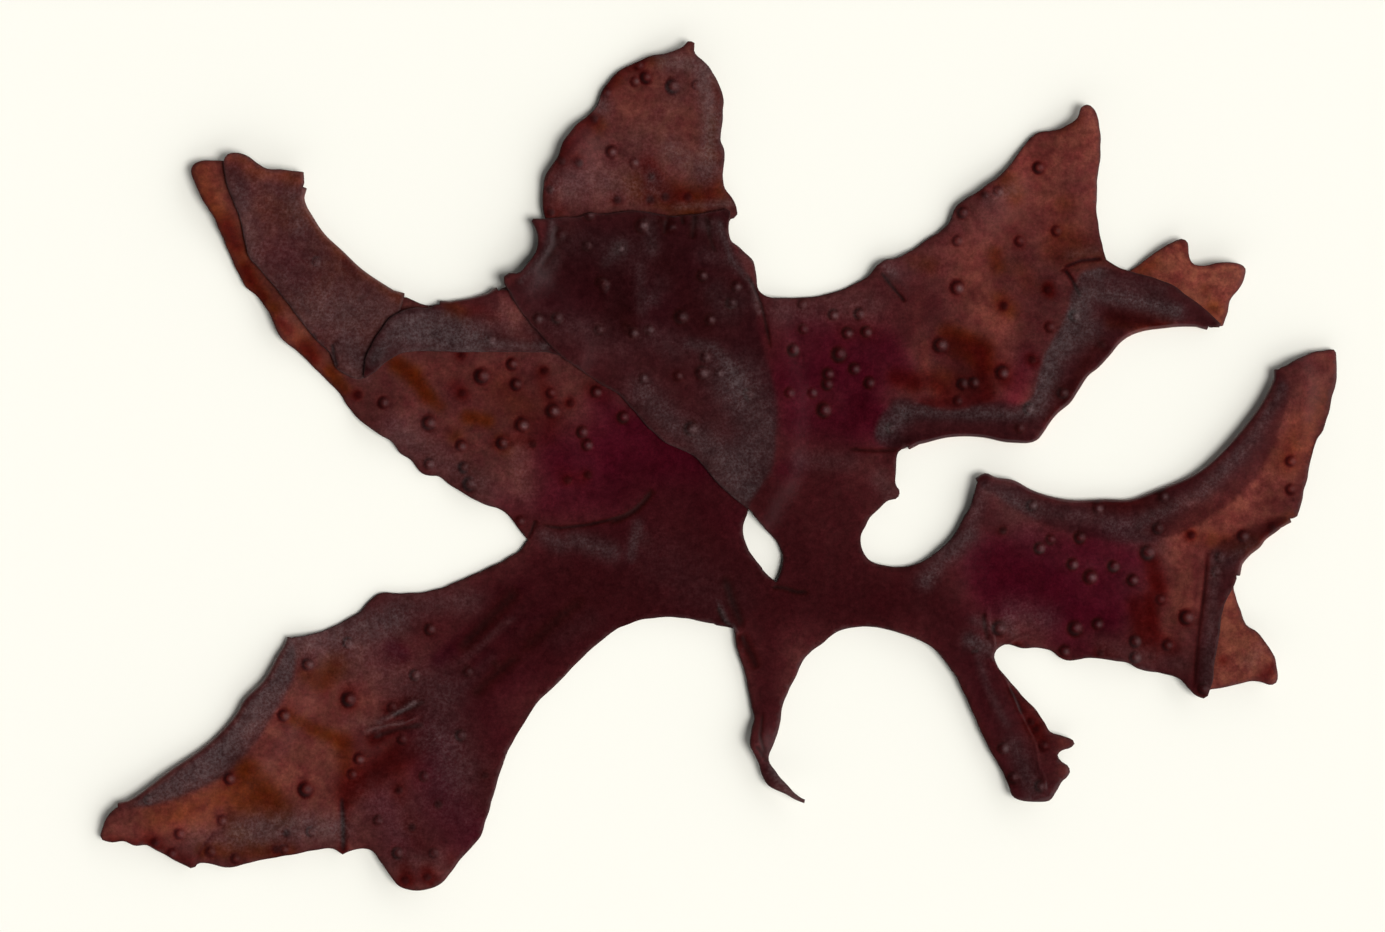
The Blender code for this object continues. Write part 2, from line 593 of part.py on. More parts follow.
def make_thallus():
    place, half, tris = weld(*build_sheet().arrays())
    tris = orient(tris)
    up = sum(1 for t in tris[:1] if half[t[0]][2] > 0)
    verts, faces = solid_of(place, half, tris)
    centre = (verts[:, :2].min(0) + verts[:, :2].max(0)) / 2
    verts[:, :2] -= centre
    verts[:, 2] -= verts[:, 2].min()
    mesh = bpy.data.meshes.new("thallus")
    mesh.from_pydata([tuple(v / 1000.0) for v in verts], [], [tuple(int(i) for i in f) for f in faces])
    mesh.validate()
    bm = bmesh.new()
    bm.from_mesh(mesh)
    if bm.calc_volume(signed=True) < 0:
        bmesh.ops.reverse_faces(bm, faces=bm.faces)
    bm.to_mesh(mesh)
    bm.free()
    mesh.shade_smooth()
    mesh.set_sharp_from_angle(angle=math.radians(50))
    obj = bpy.data.objects.new("thallus", mesh)
    bpy.context.scene.collection.objects.link(obj)

    mat = bpy.data.materials.new("thallus")
    mat.use_nodes = True
    shader = mat.node_tree.nodes["Principled BSDF"]
    shader.inputs["Base Color"].default_value = (0.075, 0.016, 0.014, 1.0)
    shader.inputs["Roughness"].default_value = 0.38
    shader.inputs["Metallic"].default_value = 0.0
    mesh.materials.append(mat)
    return obj


def main():
    for obj in list(bpy.data.objects):
        bpy.data.objects.remove(obj, do_unlink=True)
    return make_thallus()


main()
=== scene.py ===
"""Looks of the seaweed thallus: the same folded, overlapping blade as the frame's, with its fine surface.

The blade is one sheet. It is drawn in plan, stacked in layers where it folds and overlaps, and every
layer is really there. The plan unit is UNIT millimetres, x to the right and y down, and the plan is
placed on the frame by CENTRE. On top come the things that are too fine for the frame: the papillae,
the creases, the pleats, the wavy margins and the colour of each part, with painted shade, highlight and sheen in it.
"""

import math

import bpy
import numpy as np
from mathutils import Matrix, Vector, kdtree
from mathutils.geometry import delaunay_2d_cdt


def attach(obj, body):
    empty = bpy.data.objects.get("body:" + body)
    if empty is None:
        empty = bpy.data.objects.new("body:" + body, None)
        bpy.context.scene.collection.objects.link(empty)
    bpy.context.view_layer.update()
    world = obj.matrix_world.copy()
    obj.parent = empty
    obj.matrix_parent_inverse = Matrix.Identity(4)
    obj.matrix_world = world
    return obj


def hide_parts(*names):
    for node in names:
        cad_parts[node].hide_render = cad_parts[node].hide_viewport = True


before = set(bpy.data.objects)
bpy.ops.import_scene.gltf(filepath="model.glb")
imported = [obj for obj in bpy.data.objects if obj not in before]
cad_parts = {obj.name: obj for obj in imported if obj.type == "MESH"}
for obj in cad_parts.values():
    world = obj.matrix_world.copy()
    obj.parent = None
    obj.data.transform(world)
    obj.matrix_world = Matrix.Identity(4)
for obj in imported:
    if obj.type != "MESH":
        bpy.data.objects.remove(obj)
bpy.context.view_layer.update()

# ---------------------------------------------------------------- measures
UNIT = 50.0 / 590.0            # mm in one plan unit
CENTRE = (718.134, 465.564)    # plan place over the frame's origin
BLADE = 0.36                   # mm, thickness of the blade
BASE_THICK = 0.34              # mm more at the base
BASE_AT = (778.0, 650.0)
BASE_REACH = 95.0
GAP = 0.06                     # mm between layers that lie on each other
RIM = 0.08                     # mm that the rounded rim stands out
DRAPE = 22.0                   # plan units over which a layer climbs onto the one below
EDGE_STEP = 3.6                # plan units between two points of a margin
GAPS = (9.0, 4.2, 3.0, 2.4)    # net inside the blade: hidden, open, near a layer's edge, near a papilla or crease
UNDER_GAPS = (11.0, 11.0, 6.0, 6.0)
BEND_STEPS = 8
GRID = 1.0
PLAN = (1385, 932)

# ---------------------------------------------------------------- the plan
SINUS = (776.0, 582.5)     # bottom of the eye-shaped gap, where the two halves part
CUT = (734.5, 628.0)       # seam between the halves, at the left of the stipe
LEFT = [
    ("free", [CUT, (715, 625), (690, 619), (660, 617), (622, 626), (590, 651), (560, 681), (535, 707),
              (519, 731), (507, 754), (497, 782), (487, 818), (479, 839), (460, 859), (444, 880),
              (430, 888), (411, 889), (398, 884), (382, 863), (371, 849), (349, 851), (343, 854, 1),
              (331, 849), (290, 855), (258, 860), (232, 867), (199, 863), (194, 870, 1), (172, 858),
              (159, 851), (148, 844), (135, 845), (125, 841), (113, 842), (100, 838, 1), (103, 828), (108, 816), (119, 805)]),
    ("a_fold", [(119, 805), (136, 796), (168, 772), (210, 742), (235, 716), (245, 699), (264, 680),
                (280, 652), (291, 637)]),
    ("free", [(291, 637), (312, 634), (337, 625), (360, 611), (379, 594), (404, 593), (433, 590),
              (462, 579), (503, 560), (520, 550), (528, 540, 1), (520, 531), (513, 521), (506, 513),
              (498, 508), (488, 506), (475, 500), (462, 492), (450, 484), (440, 477), (430, 476),
              (422, 473), (416, 466), (410, 459), (400, 452), (392, 442), (380, 435), (365, 424),
              (355, 415), (345, 402), (335, 388), (322, 376), (312, 366), (300, 354), (290, 345),
              (282, 338), (276, 328), (270, 315), (264, 305), (257, 297), (247, 288), (242, 280),
              (236, 268), (231, 257), (225, 243), (219, 230), (215, 217), (206, 203), (200, 192),
              (194, 180), (191, 170), (194, 164), (202, 161), (213, 161), (226, 162), (240, 167),
              (257, 179), (276, 182), (294, 183), (304.5, 187)]),
    ("b_fold", [(304.5, 187), (306, 203), (314, 218), (325, 234), (343, 251), (362, 269), (387, 286),
                (404, 296)]),
    ("free", [(404, 296), (418, 303), (429, 305.5), (440, 303.5)]),
    ("t_fold", [(440, 303.5), (455, 300.5), (468, 298.5), (482, 295), (498, 290)]),
    ("free", [(498, 290), (512, 284), (528, 268), (540, 246), (546, 225), (543, 210), (543, 193),
              (546, 175), (557, 158), (563, 143), (576, 126), (594, 110), (605, 87), (617, 73),
              (634, 64), (653, 56), (668, 53), (682, 48), (688, 42, 1), (694, 43), (695, 53),
              (710, 68), (720, 87), (723, 103), (723, 122), (721, 141), (724, 152), (723, 168),
              (725, 187), (732, 197), (737, 208), (738, 218, 1), (731, 220), (728, 232), (733, 248),
              (743, 263), (751, 282), (756, 300),
              (758, 326), (764, 349), (773, 376), (777, 402), (777, 435), (772, 469), (764, 483),
              (750, 505), (744, 523), (745, 539), (752, 555), (764, 571), SINUS]),
]
RIGHT = [
    ("free", [SINUS, (781, 568), (783, 555), (775, 540), (761, 524), (748, 508), (726, 491),
              (710, 475), (694, 456), (678, 448), (662, 440), (643, 422), (633, 409), (619, 394),
              (600, 384), (582, 371), (560, 355), (542, 337), (527, 319), (516, 303), (509, 290),
              (504, 284), (504, 277, 1), (510, 273), (519, 273), (528, 264), (537, 250), (538, 236),
              (530, 219, 1), (543, 219), (560, 218), (579, 217), (590, 213), (600, 214), (630, 211),
              (651, 213), (665, 216), (694, 215), (713, 212), (730, 208, 1), (731, 216),
              (729, 228), (731, 241), (741, 250), (752, 259), (756, 273), (759, 290), (768, 297),
              (790, 298), (823, 295), (849, 286), (868, 275), (877, 265, 1), (885, 260), (896, 258),
              (910, 251), (926, 240), (946, 226), (956, 208), (985, 186), (1005, 170), (1022, 148),
              (1037, 133), (1055, 130), (1075, 120), (1080, 108), (1088, 105), (1095, 112),
              (1100, 140), (1098, 173), (1097, 216), (1101, 240), (1106, 260, 1), (1118, 267),
              (1130, 271), (1142, 275), (1158, 280), (1172, 286), (1184, 294), (1197, 304),
              (1209, 314), (1222, 327, 1), (1207, 327.5)]),
    ("d_fold", [(1207, 327.5), (1180, 327), (1160, 329), (1145, 331), (1130, 336), (1120, 343),
                (1110, 355), (1098, 368), (1088, 376), (1078, 391), (1070, 403), (1058, 413),
                (1051, 421), (1043, 433), (1037, 440), (1029, 443), (1015, 443), (1003, 442),
                (985, 438), (965, 436.5), (945, 438), (925, 443), (908, 447)]),
    ("free", [(908, 447), (899, 451), (896, 466), (896, 484), (900, 491), (897, 498), (888, 501),
              (878, 510), (869, 520), (862, 533), (861, 546), (869, 560), (885, 566), (904, 566),
              (926, 559), (946, 543), (962, 520), (972, 498), (976, 481)]),
    ("e_fold", [(976, 481), (984, 473), (995, 477), (1013, 480), (1032, 490), (1054, 497),
                (1076, 500), (1105, 499), (1131, 499), (1156, 490), (1194, 474), (1217, 456),
                (1242, 428), (1261, 402), (1272, 380), (1276, 369)]),
    ("free", [(1276, 369), (1286, 365), (1301, 356), (1319, 351), (1334, 350), (1336, 360),
              (1335, 380), (1330, 405), (1322, 431), (1316, 441), (1309, 466), (1301, 498),
              (1296, 516, 1), (1289, 520)]),
    ("f_fold", [(1289, 520), (1277, 531), (1265, 540), (1260, 547), (1250, 555), (1243, 563),
                (1237, 575)]),
    ("free", [(1237, 575), (1232, 587), (1226, 599), (1222, 612), (1220, 625), (1217, 645),
              (1214, 660), (1212, 675), (1210, 687), (1206, 699, 1), (1200, 698), (1194, 695),
              (1188, 689), (1181, 681), (1172, 676), (1160, 673), (1150, 672), (1138, 669),
              (1127, 663), (1115, 661), (1100, 659), (1087, 658), (1078, 660), (1068, 660),
              (1060, 657), (1050, 650), (1040, 648), (1020, 648), (1006, 645), (997, 649),
              (994, 656), (998, 667), (1006, 677), (1020, 693), (1034, 708), (1043, 720),
              (1050, 731), (1062, 735), (1072, 739), (1074, 743), (1070, 747), (1061, 750),
              (1057, 754), (1060, 761), (1067, 766), (1069, 771), (1066, 777), (1061, 781),
              (1055, 791), (1049, 800), (1035, 801), (1020, 800), (1012, 795), (1008, 785),
              (1003, 775), (996, 762), (985, 740), (972, 712), (962, 690), (952, 672), (941, 657),
              (928, 645), (912, 637), (890, 630), (871, 626.5), (853, 628), (838, 632), (822, 643),
              (810, 652), (803, 661), (797, 673), (791, 687), (785, 700), (781, 715), (779, 728),
              (775, 741), (769, 759), (777, 773), (785, 783), (793, 791), (801, 797), (808, 800, 1),
              (807, 804, 1), (795, 799), (785, 793), (775, 789), (767, 784), (762, 775), (759, 764),
              (755, 754), (750, 744), (751, 731), (754, 717), (751, 703), (748, 688), (745, 672),
              (740, 660), (736, 646), CUT]),
]
FLAPS = {
    "a_fold": [(291, 637), (296, 655), (293, 681), (283, 700), (267, 726), (251, 748), (226, 774),
               (188, 793), (156, 804), (134, 806), (119, 805)],
    "b_fold": [(404, 296), (398, 316), (386, 344), (374, 367), (361, 378), (349, 375), (338, 368),
               (331, 354), (319, 342), (306, 326), (298, 315), (285, 298), (272, 282), (257, 265),
               (250, 256), (246, 240), (241, 219), (234, 198), (228, 180), (226, 163), (229, 156),
               (237, 154), (247, 157), (256, 163), (268, 170), (286, 171), (304, 173, 1), (304.5, 187)],
    "t_fold": [(498, 290), (516, 293), (534, 306), (550, 326), (566, 346), (562, 354), (546, 352), (524, 351),
               (501, 351), (470, 351), (444, 351),
               (410, 351), (398, 354), (388, 360), (376, 371), (365, 378, 1), (367, 360), (372, 347),
               (380, 334), (389, 320), (400, 313), (416, 309), (430, 309), (440, 303.5)],
    "d_fold": [(908, 447), (893, 449), (877, 444), (875, 430), (884, 411), (895, 399), (908, 399),
               (924, 405), (944, 409), (964, 409), (985, 403), (1006, 402), (1022, 404), (1033, 395),
               (1038, 375), (1046, 353), (1060, 328), (1068, 306), (1072, 288), (1084, 272),
               (1106, 268), (1124, 273), (1140, 264), (1160, 250), (1172, 243), (1182, 240),
               (1187, 244), (1187, 256), (1191, 265), (1203, 267), (1217, 264), (1237, 264),
               (1244, 269), (1243, 279), (1236, 290), (1229, 300), (1226, 312), (1222, 325, 1),
               (1207, 327.5)],
    "e_fold": [(1276, 369), (1286, 382), (1286, 400), (1279, 425), (1263, 467), (1233, 501),
               (1185, 530), (1137, 543), (1103, 540), (1073, 534), (1029, 517), (1000, 499),
               (985, 490), (976, 481)],
    "f_fold": [(1237, 575), (1232, 586), (1235, 597), (1240, 611), (1245, 625), (1256, 632), (1264, 643),
               (1272, 656), (1275, 668), (1275, 681), (1270, 684), (1260, 681), (1249, 680),
               (1233, 684), (1213, 688), (1200, 690), (1194, 684), (1196, 660), (1199, 630),
               (1203, 595), (1207, 568), (1211, 549), (1229, 538), (1247, 528), (1266, 521),
               (1281, 517), (1289, 520)],
}
UNDER = ("a_fold", "d_fold", "e_fold", "f_fold")
ORDER = list(UNDER) + ["left", "b_fold", "t_fold", "right"]     # lowest first

# Low swells of the lying blade: place, reach along and across, turn in degrees, height in mm.
SWELLS = [
    ((135, 830), 75, 45, 40, 0.6), ((265, 690), 45, 26, 48, 0.3), ((420, 870), 40, 34, 0, 0.8),
    ((300, 850), 34, 22, 0, 0.5), ((215, 185), 60, 40, 60, 0.9), ((285, 178), 34, 26, 0, 0.6),
    ((282, 320), 38, 26, 50, 0.5), ((385, 425), 34, 24, 40, 0.6), ((480, 490), 30, 22, 40, 0.5),
    ((690, 70), 60, 45, 90, 1.0), ((565, 150), 42, 26, 60, 0.7), ((716, 150), 38, 22, 90, 0.5),
    ((1088, 125), 60, 36, 75, 1.0), ((985, 195), 44, 26, 45, 0.6), ((1210, 262), 60, 42, 0, 1.0),
    ((1300, 380), 60, 40, 75, 0.6), ((1230, 440), 50, 30, 50, 0.5), ((1300, 480), 40, 26, 70, 0.6),
    ((1262, 668), 44, 36, 40, 0.9), ((1120, 652), 36, 22, 5, 0.5), ((1200, 690), 30, 22, 70, 0.5),
    ((1060, 765), 36, 30, 60, 0.7), ((1030, 800), 34, 22, 0, 0.4), ((795, 795), 34, 26, 35, 0.9),
    ((752, 740), 24, 18, 80, 0.5), ((520, 275), 34, 24, 60, 0.5), ((880, 262), 26, 20, 0, 0.5),
    ((899, 492), 18, 16, 0, 0.4),
]

# ---------------------------------------------------------------- fine surface
# Papillae, by layer: place, radius in plan units, height in mm, how dark the painted shade of the crescent on its
# left, away from the light, is (below 0 it is a red spot, dark all over).
N, B, P, R, F = (5.8, .12, .90), (7.2, .16, 1.0), (5.2, .10, .35), (4.8, .05, -.50), (5.2, .07, .60)
PAPILLA_HIGHLIGHT = {.90: .50, 1.0: .62, .35: .75, .60: .30, -.50: .0, .25: .50}     # painted highlight: how grey their right sides are, where the light falls on them
PAPILLAE = {
    "left": [
        # top lobe
        (636, 82, P), (647, 78, N), (674, 87, B), (697, 86, F), (612, 152, N), (635, 163, P), (579, 163, R),
        (618, 200, R), (651, 200, R), (666, 197, R), (688, 197, R), (551, 213, R), (562, 161, R), (652, 177, R),
        (594, 119, R), (607, 93, F), (550, 190, R), (640, 66, F), (596, 103, P),
        # middle left
        (463, 355, R), (483, 376, B), (513, 364, N), (545, 371, R), (517, 384, N), (463, 393, R),
        (359, 395, R), (385, 403, N), (430, 423, B), (523, 425, B), (554, 411, B), (597, 392, N), (624, 417, N),
        (583, 432, N), (588, 445, N), (503, 443, N), (533, 444, R), (462, 446, N), (430, 464, N), (465, 467, N),
        (471, 484, B), (568, 480, R), (588, 475, R), (571, 403, R), (552, 393, F), (521, 521, F),
        # lower left lobe
        (349, 643, N), (309, 664, N), (416, 675, N), (350, 699, B), (285, 715, N), (377, 734, P), (360, 759, N),
        (353, 774, F), (231, 778, N), (307, 789, B), (462, 735, N), (400, 790, R), (181, 833, F), (403, 739, F),
        (393, 707, F), (431, 629, N), (469, 671, F), (496, 664, R), (486, 775, R), (425, 776, F), (439, 804, R),
        (413, 827, R), (379, 820, F), (399, 852, N), (406, 879, R), (428, 876, R), (435, 852, F), (151, 799, F),
        (223, 820, F), (237, 858, F), (212, 851, F), (288, 833, R), (312, 831, F), (278, 849, R), (286, 849, F),
        (173, 853, F), (156, 842, R),
    ],
    "b_fold": [(318, 262, F), (338, 348, F)],
    "t_fold": [(491, 341, (6.0, .15, .25))],
    "right": [
        # over the middle
        (643, 226, B), (621, 250, P), (602, 283, N), (606, 285, F), (703, 276, N), (737, 287, N), (732, 303, N),
        (682, 317, B), (711, 320, N), (600, 330, F), (558, 318, N), (539, 319, N), (634, 333, N), (650, 330, P),
        (706, 357, N), (703, 373, B), (720, 373, P), (679, 376, F), (749, 395, N), (692, 429, B), (644, 378, P),
        (662, 222, R), (672, 228, F), (590, 215, N), (712, 222, F), (588, 246, F), (561, 236, F),
        # upper right lobe
        (834, 315, N), (860, 314, N), (804, 329, F), (848, 333, N), (867, 332, N), (794, 350, N), (840, 354, B),
        (855, 369, N), (829, 374, N), (828, 384, N), (870, 383, N), (813, 393, P), (825, 410, B), (790, 393, F),
        (891, 428, F), (941, 345, B), (1003, 373, B), (958, 288, B), (1004, 306, R), (1048, 290, R),
        (1050, 327, F), (1032, 360, R), (1057, 231, F), (1020, 241, F), (1075, 316, N), (1101, 345, R),
        (1063, 393, N), (1029, 409, N), (1020, 428, F), (958, 401, F), (963, 384, N), (974, 383, N),
        (1039, 168, N), (963, 213, N), (984, 195, R), (803, 304, F), (998, 192, F), (958, 241, F),
        # right lobe
        (1080, 537, N), (1148, 552, B), (1073, 564, N), (1091, 577, B), (1114, 566, N), (1040, 548, N),
        (1051, 539, F), (1133, 580, N), (1161, 599, F), (1187, 617, B), (1098, 624, N), (1076, 628, B),
        (1065, 651, N), (1000, 628, B), (1135, 641, N), (1168, 645, N), (1135, 657, N), (1100, 653, R),
        (1163, 496, N), (1098, 508, N), (1032, 505, N), (1003, 530, R), (1158, 528, N), (1191, 535, R),
        (1243, 536, N), (1220, 557, F), (1216, 571, F), (1203, 688, N), (1290, 461, F), (1290, 489, F),
        (1272, 527, R), (1018, 647, R),
        # small lower right lobe
        (1031, 722, R), (1036, 730, R), (1003, 748, N), (1013, 777, N), (1040, 785, N), (1044, 745, F),
    ],
}

# Creases, by layer: line, half width, depth in mm (above 0 a ridge), how dark the painted shade down it is.
CREASES = {
    "left": [
        ([(652, 492), (641, 505), (627, 515), (609, 520), (587, 525), (560, 528), (540, 525)], 1.9, -.07, 1.0),
        ([(608, 523), (624, 517), (636, 510), (645, 501), (654, 489)], 3.0, -.11, 1.0),
        ([(645, 484), (633, 496), (618, 504), (600, 509), (575, 514)], 5.0, .05, 0),
        ([(536, 519), (532, 530), (528, 539)], 1.8, -.13, .9),
        ([(342, 796), (343, 822), (344, 852)], 2.2, -.15, .9),
        ([(349, 828), (349, 850)], 2.0, .09, 0),
        ([(366, 729), (385, 724), (402, 722), (421, 714)], 1.9, .15, 0),
        ([(379, 722), (398, 711), (420, 697)], 2.4, .15, 0),
        ([(372, 738), (398, 729), (425, 724)], 3.0, -.10, .75),
        ([(392, 716), (412, 708), (426, 700)], 2.4, -.08, .80),
        ([(197, 858), (204, 845), (216, 831)], 2.0, -.07, .3),
        ([(201, 862), (209, 848), (220, 836)], 2.0, .05, 0),
        ([(458, 652), (490, 619), (520, 588)], 6.5, -.10, .72),
        ([(466, 657), (488, 638), (510, 619)], 3.6, .08, 0),
        ([(472, 696), (498, 672), (520, 654)], 5.0, -.08, .58),
        ([(524, 650), (552, 624), (586, 597)], 5.5, -.08, .62),
        ([(512, 634), (540, 610)], 4.0, .07, 0),
        ([(676, 208), (700, 209), (731, 204)], 2.4, .09, 0),
        ([(724, 574), (731, 598), (739, 618), (746, 634), (752, 652), (756, 668)], 4.6, -.10, .95),
        ([(717, 606), (723, 620), (732, 628)], 2.6, -.07, .9),
        ([(719, 606), (726, 621), (734, 627), (740, 631)], 2.0, .14, 0),
        ([(545, 560), (600, 552), (640, 545)], 7.0, .05, 0),
    ],
    "b_fold": [
        ([(333, 343), (334, 355), (338, 368)], 2.0, -.14, 1.0),
        ([(340, 338), (342, 348), (345, 357)], 3.0, .12, 0),
        ([(313, 333), (317, 341)], 2.0, -.08, .9),
        ([(324, 347), (326, 355)], 2.0, -.08, .9),
    ],
    "t_fold": [([(470, 333), (494, 337), (512, 336)], 5.0, -.05, .15)],
    "right": [
        ([(880, 272), (892, 287), (906, 303)], 1.9, -.14, 1.0),
        ([(884, 264), (896, 279), (908, 294)], 3.4, .07, 0),
        ([(1063, 268), (1080, 261), (1102, 259)], 1.8, -.13, .85),
        ([(1063, 268), (1071, 279), (1080, 298)], 1.9, -.13, 1.0),
        ([(1074, 273), (1086, 268)], 4.0, .06, 0),
        ([(1207, 552), (1203, 595), (1197, 640), (1193, 689)], 1.8, -.06, .7),
        ([(983, 612), (984, 625), (988, 640)], 2.2, -.08, .7),
        ([(986, 605), (987, 620), (992, 635), (995, 650)], 1.8, .16, 0),
        ([(1006, 644), (1018, 637), (1030, 634)], 1.6, .10, 0),
        ([(970, 652), (979, 650)], 1.9, -.10, .9),
        ([(995, 660), (1005, 680), (1013, 697), (1018, 710), (1028, 730), (1035, 745), (1038, 765), (1044, 780), (1045, 795)], 1.7, .11, 0),
        ([(972, 660), (985, 690), (995, 710), (1010, 730), (1030, 742)], 5.0, .07, 0),
        ([(1008, 686), (1018, 704), (1022, 714)], 2.0, -.09, .8),
        ([(766, 578), (774, 587), (785, 588), (797, 592), (810, 592)], 2.4, -.15, 1.0),
        ([(763, 712), (760, 735), (765, 754)], 2.0, -.09, .7),
        ([(756, 745), (768, 762)], 1.7, -.11, .85),
        ([(848, 449), (875, 451), (900, 450)], 2.0, -.07, .7),
        ([(695, 212), (692, 240)], 3.0, -.13, 1.0),
        ([(669, 213), (664, 236)], 2.6, -.11, 1.0),
        ([(681, 213), (684, 226)], 2.2, -.10, .95),
        ([(706, 213), (709, 236), (716, 254)], 2.4, -.10, .80),
        ([(558, 222), (556, 246), (542, 268)], 3.0, -.08, .60),
        ([(552, 220), (549, 246), (530, 274)], 3.0, .09, 0),
        ([(716, 222), (726, 250), (744, 272)], 3.0, .09, 0),
        ([(630, 262), (648, 246), (664, 238)], 6.0, .07, 0),
        ([(600, 300), (618, 322)], 6.0, .06, 0),
        ([(690, 346), (716, 350), (734, 376), (741, 392)], 4.0, .06, 0),
        ([(674, 216), (674, 234)], 2.6, .07, 0),
        ([(698, 214), (699, 236)], 2.6, .07, 0),
        ([(745, 271), (755, 290), (761, 304), (766, 325), (771, 349)], 1.8, -.10, .85),
        ([(740, 268), (750, 288), (757, 306)], 3.0, .06, 0),
        ([(740, 633), (746, 644), (752, 656), (757, 670)], 4.6, -.08, .85),
        ([(740, 632), (742, 644), (739, 655)], 1.8, .12, 0),
    ],
}
